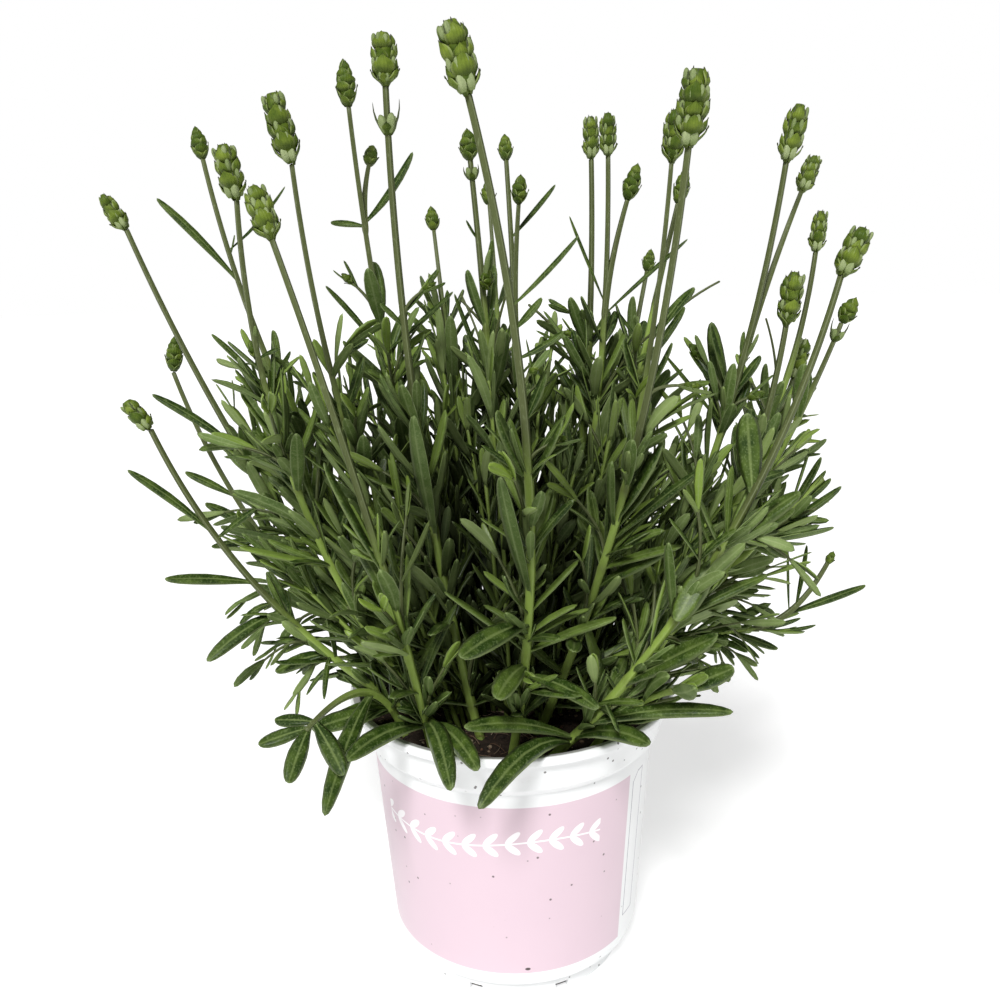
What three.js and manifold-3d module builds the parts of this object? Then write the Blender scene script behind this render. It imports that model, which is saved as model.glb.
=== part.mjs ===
// Potted lavender: a young plant in bud in a thin round nursery pot.
// Millimetres, +Z up. The origin is the middle of the pot's foot, and the plant's front faces -Y.
import * as THREE from "three";
import { mergeVertices } from "three/addons/utils/BufferGeometryUtils.js";
import Module from "manifold-3d";

const wasm = await Module();
wasm.setup();
const { Manifold } = wasm;

// Driving dimensions of the pot
const potHeight = 105;
const lipRadius = 60;
const lipDrop = 3.2; // height of the lip's turned-down edge
const lipRound = 0.8; // how much the lip's edges are rounded off
const bandTopRadius = 57.4; // the band under the lip
const bandFootRadius = 55.2;
const bandFoot = 91; // height where the band ends
const stepFoot = 88; // height where the wall proper begins
const wallTopRadius = 52.2;
const wallFootRadius = 47;
const wallFoot = 13;
const bendRadius = 45.6; // where the wall turns in towards the foot ring
const bendHeight = 9.4;
const footRadius = 40.6;
const footRise = 7.5; // height where the wall has come in to the foot ring
const wall = 1.1;
const padRadius = 35; // inner edge of the foot ring
const drainRadius = 28.5; // inner edge of the raised drain channel
const channelRise = 4;
const channelSlope = 1.2; // how far the channel's sides lean in
const potSegments = 28;
const notchCount = 8; // slots that drain the foot's corner and part it into pads
const notchWidth = 5;
const notchHeight = 3;
const notchDepth = 3.4;
const drainHoles = 8;
const drainHoleRadius = 2;
const drainHoleSides = 6;

// Driving dimensions of the soil
const soilLevel = 95; // mean height of the top
const soilEdge = 92.2; // height of its edge at the wall
const soilRings = 4; // rings of corners on its top, and the distance between them
const soilRingStep = 12;
const soilSegments = 14; // half the pot's, so that their corners line up
const lumpRise = 0.8; // how much higher the soil is than its mean level, away from the wall
const crossedLumps = { rise: 0.9, turnX: 0.23, turnY: 0.19 }; // waves in X times waves in Y, radians a mm
const slantedLumps = { rise: 0.6, turnX: 0.41, turnY: -0.33 };
const fitGap = 0.3; // clearance between pieces that touch
const flatness = 0.08; // a corner that stands out by less is left out

// Driving dimensions of the plant
const stemLevel = 97.5; // height where every stem's curve starts
const pegRadius = 2.5; // woody stock at the soil, half its diagonal
const stockFoot = 83; // height of its buried end
const pegTop = 100;
const stemRootRadius = 1.75; // half the diagonal of the square stem
const stemTopRadius = 1.1;
const stemSteps = 6;
const stemSides = 4;
const branchLead = 0.45; // share of its reach that a branch follows its parent's direction for
const branchThinness = 0.9; // of the parent's thickness
const pairSpacing = 25; // along a stem, from one pair of leaves to the next
const firstPair = 10; // height of the lowest pair over the stem's start
const firstBearing = 45; // of the lowest pair round its stem, degrees
const leafGap = 0.3; // least clearance between a leaf and another shoot
const keelDepth = 1.2; // a leaf's thickness along its midrib
const edgeLift = 0.35; // share of that thickness by which its edges lie off the midline
const leafStations = [[0, 0.3], [0.52, 1], [0.88, 0.7]]; // share of its length, share of its width

// A leaf's measures, each from the soil to the knee except where the line says otherwise, and their scatter
const leafLength = { atSoil: 34, atKnee: 23, swell: 8, scatter: [0.8, 1.05] }; // swell is added halfway
const leafWidth = { narrow: 5, wide: 7, atKnee: 0.82 };
const leafAngle = { atSoil: 62, atKnee: 24, scatter: [-9, 9] }; // degrees from the stem
const leafDroop = { atSoil: 0.55, atKnee: -0.1, scatter: [-0.2, 0.25] };
const leafTwist = [-24, 24];
const bearingScatter = [-11, 11];

// Outline of the leafy crown in the upright plane through the pot's axis, as rows of X and Z, and the point in
// front of it that it is seen from. Only listed leaves reach out of it.
const crownEye = [-3, -329, 257];
const crown = [
  [-97, 80], [-95, 103], [-101, 123], [-104, 143], [-107, 160], [-111, 177], [-109, 199], [-103, 216],
  [-99, 235], [-82, 239], [-69, 236], [-57, 258], [-43, 259], [-33, 250], [-21, 257], [6, 259], [19, 248],
  [33, 242], [50, 248], [64, 248], [77, 236], [90, 227], [104, 225], [110, 207], [116, 189], [119, 175],
  [117, 154], [118, 133], [110, 118], [87, 107], [71, 101], [61, 90], [56, 76],
];

// A flower head's form, as shares of its length or width
const tierHeight = 4.2; // millimetres of head to a tier
const fewestTiers = 3;
const slimHead = 7.3; // heads narrower than this have three bracts to a tier, the others four
const headFoot = 0.24; // radius of its foot, and the most that it may be in millimetres
const headFootMost = 1.5;
const bractDip = 0.78; // radius between two bract tips
const waist = 0.72; // radius between two tiers
const bulge = { at: 0.36, power: 1.6, taper: 1.24 };
const tipTier = 0.6; // the last tip, as a share of a tier
const tierWaist = 0.12; // where in its tier the waist, and the ring of bract tips, lies
const tierTips = 0.78;
const bractLift = 0.42; // how much further the tips reach

// A detached ring of bracts on the stalk: rows of height, radius and lift of the tips
const whorlSides = 8;
const whorlCore = 0.7;
const whorlRows = (width) => [[-3, whorlCore, 0], [0.4, width / 2, 1.6], [1.6, whorlCore, 0]];
const whorlDip = 0.7;
const whorlWidth = 0.9; // of the head's width
const whorlDrop = 4; // below the head's foot, before its own number is added
const budSink = 1; // how far a bud's foot is sunk in its stem

// The fixed draw's frequencies for the stem, the leaf and the use of the number, and its size
const drawTurns = [127.1, 311.7, 74.7];
const drawSize = 43758.5453;

// One row for each shoot: where it leaves the soil, then its stems.
// A stem is bare above its knee. A head is its number, length and width, and a whorl's number is how far
// it sits below its head. A nod is added to the stalk's direction to give its head's.
// Clad is the share of a stem's leafy part that has leaves. A branch leaves the stem before it at the share
// "from" of that stem's curve.
// A leaf that stands out is listed by the share where it leaves the stem, its tip, width and arch.
const shoots = [
  {
    root: [0, -38],
    stems: [
      {
        knee: [6, -60, 194], top: [-8, -75, 297], head: [9, 18, 9.6], thick: 1.12,
        leaves: [
          [0.17, [-5, -74, 133], 6.5, 4], [0.15, [25, -72, 128], 5, 5], [0.25, [-15, -78, 148], 7, 4],
          [0.3, [-2, -72, 199], 7, 0],
        ],
      },
    ],
  },
  {
    root: [-28, -35],
    stems: [
      {
        knee: [-38, -58, 168], top: [-64, -55, 264], head: [4, 16, 8.6],
        leaves: [
          [0.07, [-19, -80, 107], 6.5, 13], [0.06, [-51, -70, 112], 6.2, 8], [0.06, [-11, -76, 111], 6, 10],
          [0.42, [-52, -66, 203], 5.6, 0],
        ],
      },
    ],
  },
  {
    root: [14, -43],
    stems: [
      {
        knee: [64, -52, 169], top: [100, -40, 250], head: [25, 16, 8.6], nod: [0.18, 0, 0],
        leaves: [
          [0.04, [-11, -84, 103], 6.2, 15], [0.05, [40, -74, 117], 6, 8], [0.09, [70, -50, 118], 5.4, 6],
          [0.2, [61, -66, 148], 8.5, 2],
          [0.05, [-15, -70, 122], 6, 7], [0.5, [54, -58, 193], 6.6, 0], [0.5, [87, -54, 188], 6.6, 3],
          [0.48, [49, -62, 151], 7.6, 3], [0.61, [72, -47, 211], 7, 0],
        ],
      },
    ],
  },
  {
    root: [10, -24],
    stems: [
      {
        knee: [36, -45, 188], top: [50, -60, 285], head: [20, 20, 9.8], thick: 1.12,
        leaves: [
          [0.31, [49, -50, 170], 6, 2], [0.44, [46, -52, 204], 8, 0], [0.4, [59, -46, 194], 4.2, 2],
        ],
      },
    ],
  },
  {
    root: [-12, -26],
    stems: [
      {
        knee: [-28, -28, 202], top: [-33, -30, 307], head: [8, 15, 9], whorl: 9,
        leaves: [[0.34, [-28, -42, 212], 7.2, 0]],
      },
    ],
  },
  {
    root: [-20, -8],
    stems: [{ knee: [-54, -15, 207], top: [-64, -20, 287], head: [5, 21.5, 9.4], nod: [-0.16, 0, 0] }],
  },
  {
    root: [-30, -15],
    stems: [{ knee: [-74.6, -28, 212], top: [-78, -35, 276], head: [3, 16, 8.8], nod: [-0.2, 0, 0] }],
  },
  {
    root: [-40, 12],
    stems: [
      { knee: [-95, 8, 192], top: [-128, 10, 270], head: [1, 14, 7], nod: [-0.28, 0, 0], clad: 0.9 },
      { knee: [-101, 24, 167], top: [-124, 30, 219], head: [29, 13, 6.4], nod: [0.42, 0, 0.1], clad: 0.75 },
    ],
  },
  {
    root: [-40, -6],
    stems: [
      {
        knee: [-105, -12, 173], top: [-118.4, -15, 205], head: [30, 12, 7], nod: [-0.34, 0, 0], clad: 0.5,
        leaves: [
          [0.53, [-117, -22, 155], 4.8, 2], [0.42, [-103, -30, 128], 5.4, 5],
          [0.7, [-129, -12, 191], 3.6, 3],
        ],
      },
    ],
  },
  {
    root: [-16, 6],
    stems: [
      {
        knee: [-42.6, 8, 236], top: [-49, 5, 307], head: [6, 14, 6.6],
      },
      { from: 0.8, top: [-45, 18, 290], head: [7, 9, 5] },
    ],
  },
  { root: [-2, 8], stems: [{ knee: [-6, 18, 233], top: [-10, 20, 291], head: [11, 10, 6.8], whorl: 0.5 }] },
  { root: [-12, 24], stems: [{ knee: [-22, 45, 231], top: [-26, 60, 269], head: [10, 10, 5.6] }] },
  {
    root: [5, 22],
    stems: [
      {
        knee: [5, 38, 231], top: [3, 55, 294], head: [12, 10, 5.6],
        leaves: [[0.85, [21, 44, 284], 3.4, 0]],
      },
      { from: 0.66, top: [7, 38, 277], head: [14, 10, 6] },
    ],
  },
  { root: [-4, 38], stems: [{ knee: [-2, 62, 238], top: [-4, 75, 279], head: [13, 10, 5.8] }] },
  {
    root: [16, 12],
    stems: [
      {
        knee: [37, 28, 226], top: [39, 30, 292], head: [16, 15, 7],
        leaves: [[0.74, [26, 33, 273], 3.6, 0], [0.68, [24, 28, 262], 4, 0]],
      },
      { from: 0.7, top: [46, 30, 277], head: [17, 12.6, 6.4] },
      { knee: [33, 40, 223], top: [35, 50, 293], head: [15, 16, 7] },
    ],
  },
  {
    root: [22, -2],
    stems: [
      {
        knee: [49.4, 12, 207], top: [59, 15, 288], head: [19, 17.6, 8.6],
        leaves: [[0.7, [69, 20, 246], 4, 2]],
      },
    ],
  },
  {
    root: [28, 24],
    stems: [
      { knee: [58, 38, 241], top: [67, 45, 276], head: [21, 13.6, 6] },
      { knee: [54, 70, 220], top: [62, 85, 251], head: [18, 10, 5.4] },
    ],
  },
  {
    root: [34, -8],
    stems: [
      {
        knee: [74, -8, 199], top: [91, -10, 285], head: [22, 18, 8.4], nod: [0.08, 0, 0],
        leaves: [[0.58, [71, 0, 235], 5, 0]],
      },
      { from: 0.66, top: [101, 5, 277], head: [23, 14, 7] },
    ],
  },
  { root: [30, -24], stems: [{ knee: [80, -22, 188], top: [89, -25, 235], head: [26, 17, 8.4] }] },
  {
    root: [34, 20],
    stems: [
      { knee: [110, 38, 213], top: [120, 45, 257], head: [24, 16, 7] },
      { knee: [104, 46, 180], top: [116, 52, 208], head: [28, 17, 7.4] },
    ],
  },
  {
    root: [42, 6],
    stems: [
      { knee: [108.5, 20, 197], top: [122.6, 20, 232], head: [27, 9.6, 6.8], nod: [0.16, 0, 0], whorl: 0.5 },
      { knee: [92, 5, 155], top: [114, 5, 178] },
      { knee: [66, 11, 112], top: [96, 14, 117] },
      { from: 0.93, top: [122, 16, 143], bud: [5, 3.4], leaves: [[0.45, [143, 30, 128], 3.2, 0]] },
    ],
  },
  {
    root: [-39, -23],
    stems: [
      {
        knee: [-50, -40, 120], top: [-64, -62, 118], clad: 0.6,
        leaves: [
          [0.98, [-78, -66, 116], 5, 1], [0.94, [-75, -56, 119], 4.6, 1], [0.98, [-67, -77, 109], 5.4, 2],
          [0.94, [-51, -75, 110], 5.6, 2], [0.42, [-56, -82, 101], 5.6, 8],
        ],
      },
    ],
  },
  { root: [2, 44], stems: [{ knee: [0, 76, 134], top: [0, 98, 152] }] },
  {
    root: [-26, 34],
    stems: [
      {
        knee: [-82.5, 18, 215], top: [-104, 25, 294], head: [2, 11, 6],
        leaves: [[0.8, [-120, 20, 281], 4, 3]],
      },
      { knee: [-56, 60, 136], top: [-78, 78, 156] },
    ],
  },
  { root: [22, 38], stems: [{ knee: [50, 62, 136], top: [70, 80, 156] }] },
  { root: [29, -35], stems: [{ knee: [42, -46, 117], top: [50, -57, 126] }] },
];

// Ways in which a leaf may give room to its neighbours: turned about its stem, opened from it, shortened
const givings = [
  { turn: 0, open: 0, reach: 1 },
  { turn: 16, open: 0, reach: 1 },
  { turn: -16, open: 0, reach: 1 },
  { turn: 0, open: -10, reach: 0.94 },
  { turn: 32, open: 8, reach: 0.92 },
  { turn: -32, open: 8, reach: 0.92 },
  { turn: 0, open: 14, reach: 0.8 },
];

const vec = (row) => new THREE.Vector3(...row);
const radians = THREE.MathUtils.degToRad;
const up = new THREE.Vector3(0, 0, 1);

// A fixed draw between 0 and 1 for one leaf: the broken-off part of a large sine
function draw(stem, leaf, use) {
  const [stemTurn, leafTurn, useTurn] = drawTurns;
  const wide = Math.sin(stem * stemTurn + leaf * leafTurn + use * useTurn) * drawSize;
  return wide - Math.floor(wide);
}

const between = (low, high, share) => low + (high - low) * share;
const within = ([low, high], share) => between(low, high, share);

// Closed solid from a geometry: shared corners merged, collapsed triangles left out
function toSolid(geometry) {
  const bare = geometry.index ? geometry : mergeVertices(geometry);
  bare.deleteAttribute("normal");
  bare.deleteAttribute("uv");
  const merged = mergeVertices(bare, 1e-4);
  const corners = merged.index.array;
  const kept = [];
  for (let i = 0; i < corners.length; i += 3) {
    const [a, b, c] = corners.slice(i, i + 3);
    if (a !== b && b !== c && c !== a) kept.push(a, b, c);
  }
  return new Manifold(new wasm.Mesh({
    numProp: 3,
    vertProperties: new Float32Array(merged.attributes.position.array),
    triVerts: new Uint32Array(kept),
  }));
}

// Solid through a row of rings with equal numbers of corners, closed by flat ends or run out to a tip
function loft(rings, tip) {
  const sides = rings[0].length;
  const points = rings.flat();
  const faces = [];
  for (let i = 2; i < sides; i++) faces.push(0, i, i - 1);
  for (let r = 0; r + 1 < rings.length; r++) {
    for (let i = 0; i < sides; i++) {
      const a = r * sides + i;
      const b = r * sides + ((i + 1) % sides);
      faces.push(a, b, b + sides, a, b + sides, a + sides);
    }
  }
  const last = (rings.length - 1) * sides;
  if (tip) {
    points.push(tip);
    for (let i = 0; i < sides; i++) faces.push(last + i, last + ((i + 1) % sides), points.length - 1);
  } else {
    for (let i = 2; i < sides; i++) faces.push(last, last + i - 1, last + i);
  }
  return new Manifold(new wasm.Mesh({
    numProp: 3,
    vertProperties: new Float32Array(points.flatMap((p) => p.toArray())),
    triVerts: new Uint32Array(faces),
  }));
}

// Named mesh from a solid, without the corners that its cuts left in flat faces and straight edges
function toMesh(name, solid, material) {
  const mesh = solid.asOriginal().simplify(flatness).getMesh();
  const geometry = new THREE.BufferGeometry();
  geometry.setAttribute("position", new THREE.BufferAttribute(mesh.vertProperties, 3));
  geometry.setIndex(new THREE.BufferAttribute(mesh.triVerts, 1));
  const named = new THREE.Mesh(geometry, material);
  named.name = name;
  return named;
}

// Turned solid from rows of radius and height that start and end on the axis
function turned(rows, segments) {
  const profile = rows.map(([radius, height]) => new THREE.Vector2(radius, height));
  return new THREE.LatheGeometry(profile, segments).rotateX(Math.PI / 2);
}

// Upright prism with its middle at x, y
function prism(x, y, low, high, sides, radius) {
  const round = new THREE.CylinderGeometry(radius, radius, high - low, sides);
  return toSolid(round.rotateX(Math.PI / 2).translate(x, y, (low + high) / 2));
}

// The pot's inner face as radius and height, from the middle of the floor up to the lip
const inside = [
  [0, wall],
  [drainRadius - wall, wall],
  [drainRadius - wall + channelSlope, channelRise + wall],
  [padRadius + wall - channelSlope, channelRise + wall],
  [padRadius + wall, wall],
  [footRadius - wall, wall],
  [footRadius - wall, footRise],
  [wallFootRadius - wall, wallFoot],
  [wallTopRadius - wall, stepFoot],
  [bandFootRadius - wall, bandFoot],
  [bandTopRadius - wall, potHeight - lipRound],
];

function buildPot() {
  const outside = [
    [lipRadius - lipRound, potHeight],
    [lipRadius, potHeight - lipRound],
    [lipRadius - lipRound / 2, potHeight - lipDrop],
    [bandTopRadius, potHeight - lipDrop],
    [bandFootRadius, bandFoot],
    [wallTopRadius, stepFoot],
    [wallFootRadius, wallFoot],
    [bendRadius, bendHeight],
    [footRadius, footRise],
    [footRadius, 0],
    [padRadius, 0],
    [padRadius - channelSlope, channelRise],
    [drainRadius + channelSlope, channelRise],
    [drainRadius, 0],
    [0, 0],
  ];
  let pot = toSolid(turned([...inside, ...outside].reverse(), potSegments));
  for (let i = 0; i < notchCount; i++) {
    const bearing = radians(-90 + (360 / notchCount) * (i + 0.5));
    const notch = new THREE.BoxGeometry(notchDepth * 2, notchWidth, notchHeight * 2);
    pot = pot.subtract(toSolid(notch.translate(footRadius, 0, 0).rotateZ(bearing)));
  }
  for (let i = 0; i < drainHoles; i++) {
    const bearing = radians((360 / drainHoles) * (i + 0.5));
    const middle = (padRadius + drainRadius) / 2;
    const [x, y] = [middle * Math.cos(bearing), middle * Math.sin(bearing)];
    pot = pot.subtract(prism(x, y, 0, 2 * channelRise, drainHoleSides, drainHoleRadius));
  }
  return pot;
}

// Height of the soil's lumps at a point: crossed and slanting waves that fade out at the wall
function lumps(x, y) {
  const fade = 1 - Math.min(1, Math.hypot(x, y) / wallTopRadius) ** 6;
  const crossed = Math.sin(crossedLumps.turnX * x) * Math.cos(crossedLumps.turnY * y);
  const slanted = Math.sin(slantedLumps.turnX * x + slantedLumps.turnY * y);
  return fade * (lumpRise + crossedLumps.rise * crossed + slantedLumps.rise * slanted);
}

function buildSoil() {
  const aside = fitGap * Math.SQRT2;
  const flatPart = Math.cos(Math.PI / soilSegments); // a facet's middle is nearer the axis than its corners
  const bed = [
    [0, wall + fitGap],
    [drainRadius - wall - aside, wall + fitGap],
    [drainRadius - wall + channelSlope - aside, channelRise + wall + fitGap],
    [(padRadius + wall - channelSlope + aside) / flatPart, channelRise + wall + fitGap],
    [(padRadius + wall + aside) / flatPart, wall + fitGap],
    [footRadius - wall - fitGap, wall + fitGap],
    [footRadius - wall - fitGap, footRise + fitGap],
    [wallFootRadius - wall - aside, wallFoot + fitGap],
    [wallTopRadius - wall - aside, stepFoot + fitGap],
    [bandFootRadius - wall - aside, bandFoot + fitGap],
  ];
  const top = [[bandFootRadius - wall - aside, soilEdge]];
  for (let ring = soilRings; ring >= 0; ring--) top.push([ring * soilRingStep, soilLevel]);
  const geometry = turned([...bed, ...top], soilSegments);
  const position = geometry.attributes.position;
  for (let i = 0; i < position.count; i++) {
    if (position.getZ(i) > (soilEdge + soilLevel) / 2) {
      position.setZ(i, soilLevel + lumps(position.getX(i), position.getY(i)));
    }
  }
  let soil = toSolid(geometry);
  for (const { root } of shoots) {
    const [x, y] = root;
    const clear = pegRadius + fitGap * Math.SQRT2;
    soil = soil.subtract(prism(x, y, stockFoot - fitGap, pegTop, stemSides, clear));
  }
  return soil;
}

// A stem's curve: a quadratic one through its start, knee and top, or for a branch one that leaves its
// parent stem along it. Sets the share of the curve that bears leaves, and the direction of one corner.
function layStem(stem, number, shoot, parent) {
  const top = vec(stem.top);
  const start = parent ? parent.curve.getPoint(stem.from) : new THREE.Vector3(...shoot.root, stemLevel);
  const lean = top.clone().sub(start).normalize();
  const middle = new THREE.Vector3();
  if (parent) {
    const along = parent.curve.getTangent(stem.from);
    middle.copy(start).addScaledVector(along, branchLead * start.distanceTo(top));
    stem.leafShare = 0;
  } else {
    const knee = vec(stem.knee);
    const share = start.distanceTo(knee) / (start.distanceTo(knee) + knee.distanceTo(top));
    middle.copy(knee).addScaledVector(start, -((1 - share) ** 2)).addScaledVector(top, -(share ** 2));
    middle.multiplyScalar(1 / (2 * share * (1 - share)));
    stem.leafShare = stem.head || stem.bud ? share : 1;
  }
  stem.leafShare *= stem.clad ?? 1;
  stem.curve = new THREE.QuadraticBezierCurve3(start, middle, top);
  stem.level = up.clone().cross(lean).normalize().applyAxisAngle(lean, radians(90 * draw(number, 0, 1)));
  return stem;
}

// A stem's point, direction and two cross directions at a share of its curve
function frameAt(stem, share) {
  const point = stem.curve.getPoint(share);
  const along = stem.curve.getTangent(share);
  const aside = stem.level.clone().addScaledVector(along, -stem.level.dot(along)).normalize();
  const away = along.clone().cross(aside);
  return { point, along, aside, away };
}

const stemRadius = (stem, share) => between(stemRootRadius, stemTopRadius, share) * (stem.thick ?? 1);

// Square stem, swept along its curve
function buildStem(stem) {
  const rings = [];
  for (let i = 0; i <= stemSteps; i++) {
    const share = i / stemSteps;
    const { point, aside, away } = frameAt(stem, share);
    const radius = stemRadius(stem, share) * (stem.knee ? 1 : branchThinness);
    const ring = [];
    for (let side = 0; side < stemSides; side++) {
      const turn = radians((360 / stemSides) * side);
      const corner = point.clone().addScaledVector(aside, radius * Math.cos(turn));
      ring.push(corner.addScaledVector(away, radius * Math.sin(turn)));
    }
    rings.push(ring);
  }
  return loft(rings);
}

// Where a leaf lies: its root, middle and tip as the three points of a quadratic curve, and its width's
// direction. It leaves the stem at an angle from it, then bends towards the ground by its droop.
function layLeaf(stem, leaf, giving) {
  const { point, along, aside, away } = frameAt(stem, leaf.share);
  const bearing = radians(leaf.bearing + giving.turn);
  const angle = radians(leaf.angle + giving.open);
  const out = aside.clone().multiplyScalar(Math.cos(bearing)).addScaledVector(away, Math.sin(bearing));
  const first = along.clone().multiplyScalar(Math.cos(angle)).addScaledVector(out, Math.sin(angle));
  const last = first.clone().addScaledVector(up, -leaf.droop).normalize();
  const length = leaf.length * giving.reach;
  const middle = point.clone().addScaledVector(first, length * 0.5);
  const tip = middle.clone().addScaledVector(last, length * 0.5);
  const twist = radians(leaf.twist);
  const across = along.clone().cross(out);
  const face = first.clone().cross(across);
  across.multiplyScalar(Math.cos(twist)).addScaledVector(face, Math.sin(twist));
  return { curve: new THREE.QuadraticBezierCurve3(point, middle, tip), across };
}

// The same for a listed leaf, whose tip is given: it rises from its root by its arch before it comes down
function aimLeaf(stem, leaf, giving) {
  const { point } = frameAt(stem, leaf.share);
  const reach = leaf.tip.clone().sub(point).multiplyScalar(giving.reach);
  reach.applyAxisAngle(up, radians(giving.turn / 2));
  const tip = point.clone().add(reach);
  const middle = point.clone().addScaledVector(reach, 0.5).addScaledVector(up, leaf.arch);
  const across = reach.clone().cross(up).normalize();
  return { curve: new THREE.QuadraticBezierCurve3(point, middle, tip), across };
}

// Whether a point lies inside the crown's outline, as seen from crownEye
function inCrown(point) {
  const nearer = -crownEye[1] / (point.y - crownEye[1]);
  const x = crownEye[0] + (point.x - crownEye[0]) * nearer;
  const z = crownEye[2] + (point.z - crownEye[2]) * nearer;
  const crossed = crown.filter(([ax, az], i) => {
    const [bx, bz] = crown[(i + 1) % crown.length];
    return (az > z) !== (bz > z) && x < ax + ((bx - ax) * (z - az)) / (bz - az);
  });
  return crossed.length % 2 === 1;
}

// Blade with a flat upper face and a keel below, narrow at its root and widest past its middle
function buildLeaf(stem, leaf, giving) {
  const { curve, across } = leaf.tip ? aimLeaf(stem, leaf, giving) : layLeaf(stem, leaf, giving);
  const rings = leafStations.map(([share, part]) => {
    const point = curve.getPoint(share);
    const along = curve.getTangent(share);
    const side = across.clone().addScaledVector(along, -across.dot(along)).normalize();
    const face = side.clone().cross(along);
    const half = (leaf.width / 2) * part;
    const left = point.clone().addScaledVector(side, half);
    const right = point.clone().addScaledVector(side, -half);
    const lift = share > 0 ? edgeLift * keelDepth : 0;
    left.addScaledVector(face, -lift);
    right.addScaledVector(face, -lift);
    return [left, right, point.clone().addScaledVector(face, keelDepth - lift)];
  });
  return loft(rings, curve.getPoint(1));
}

// The leaves of one stem: those listed, then crossed pairs from the soil to its knee
function listLeaves(stem, number) {
  const leafy = stem.curve.getLength() * stem.leafShare;
  const pairs = Math.floor((leafy - firstPair) / pairSpacing) + 1;
  const leaves = (stem.leaves ?? []).map(([share, tip, width, arch]) => (
    { pair: -1, share, tip: vec(tip), width, arch }
  ));
  for (let pair = 0; pair < pairs; pair++) {
    const height = between(firstPair, leafy, pairs > 1 ? pair / (pairs - 1) : 0);
    const rise = height / leafy;
    const swell = leafLength.swell * Math.sin(Math.PI * rise);
    for (let side = 0; side < 2; side++) {
      const index = pair * 2 + side;
      const any = (use) => draw(number, index, use);
      leaves.push({
        pair,
        share: rise * stem.leafShare,
        bearing: firstBearing + 90 * pair + 180 * side + within(bearingScatter, any(2)),
        angle: between(leafAngle.atSoil, leafAngle.atKnee, rise) + within(leafAngle.scatter, any(3)),
        length: (between(leafLength.atSoil, leafLength.atKnee, rise) + swell)
          * within(leafLength.scatter, any(4)),
        width: between(leafWidth.narrow, leafWidth.wide, any(5)) * between(1, leafWidth.atKnee, rise),
        droop: between(leafDroop.atSoil, leafDroop.atKnee, rise) + within(leafDroop.scatter, any(6)),
        twist: within(leafTwist, any(7)),
      });
    }
  }
  return leaves;
}

// Flower head in bud: tiers of bracts that stand out of each other, tapering to a point
function buildHead(base, along, aside, length, width) {
  const sides = width < slimHead ? 6 : 8;
  const tiers = Math.max(fewestTiers, Math.round(length / tierHeight));
  const away = along.clone().cross(aside);
  const ringAt = (height, radius, lift, shift) => {
    const ring = [];
    for (let i = 0; i < sides; i++) {
      const tipped = (i + shift) % 2 === 0;
      const reach = tipped ? radius : radius * bractDip;
      const bearing = radians((360 / sides) * i);
      const corner = base.clone().addScaledVector(along, height + (tipped ? lift : 0));
      corner.addScaledVector(aside, reach * Math.cos(bearing));
      ring.push(corner.addScaledVector(away, reach * Math.sin(bearing)));
    }
    return ring;
  };
  const tier = length / (tiers + tipTier);
  const rings = [ringAt(0, Math.min(headFootMost, width * headFoot), 0, 0)];
  for (let i = 0; i < tiers; i++) {
    const share = (i + tierTips) / tiers;
    const swell = (width / 2) * (1 - bulge.taper * Math.abs(share - bulge.at) ** bulge.power);
    if (i > 0) rings.push(ringAt(tier * (i + tierWaist), swell * waist, 0, i));
    rings.push(ringAt(tier * (i + tierTips), swell, tier * bractLift, i));
  }
  return loft(rings, base.clone().addScaledVector(along, length));
}

// Small ring of bracts round the bare stalk
function buildWhorl(stem, share, width) {
  const { point, along, aside, away } = frameAt(stem, share);
  const rings = whorlRows(width).map(([height, radius, lift]) => {
    const ring = [];
    for (let i = 0; i < whorlSides; i++) {
      const tipped = i % 2 === 0;
      const reach = tipped || radius === whorlCore ? radius : radius * whorlDip;
      const bearing = radians((360 / whorlSides) * i);
      const corner = point.clone().addScaledVector(along, height + (tipped ? lift : 0));
      corner.addScaledVector(aside, reach * Math.cos(bearing));
      ring.push(corner.addScaledVector(away, reach * Math.sin(bearing)));
    }
    return ring;
  });
  return loft(rings);
}

const materials = {
  pot: new THREE.MeshStandardMaterial({ color: 0xeeecec, roughness: 0.55, metalness: 0 }),
  soil: new THREE.MeshStandardMaterial({ color: 0x2b1f18, roughness: 0.95, metalness: 0 }),
  foliage: new THREE.MeshStandardMaterial({ color: 0x4f6b35, roughness: 0.6, metalness: 0 }),
  head: new THREE.MeshStandardMaterial({ color: 0x7d9c4c, roughness: 0.75, metalness: 0 }),
};

// Solids that a leaf has to keep clear of, each with the stem and pair that it belongs to, and its box
const standing = [];

function stand(solid, stem, pair) {
  const { min, max } = solid.boundingBox();
  standing.push({ solid, stem, pair, min, max });
}

// Whether a leaf is clear of everything but its own stem and the other leaf of its pair
function isClear(solid, stem, pair) {
  const { min, max } = solid.boundingBox();
  const nearby = standing.filter((other) => (other.stem !== stem || (other.pair ?? pair) !== pair)
    && [0, 1, 2].every((k) => min[k] < other.max[k] + leafGap && max[k] > other.min[k] - leafGap));
  return nearby.every((other) => solid.minGap(other.solid, leafGap * 2) >= leafGap);
}

const lavender = new THREE.Group();
const pot = buildPot();
const soil = buildSoil();
stand(pot);
stand(soil);
lavender.add(toMesh("pot", pot, materials.pot), toMesh("soil", soil, materials.soil));

const twoDigits = (number) => String(number).padStart(2, "0");

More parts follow.
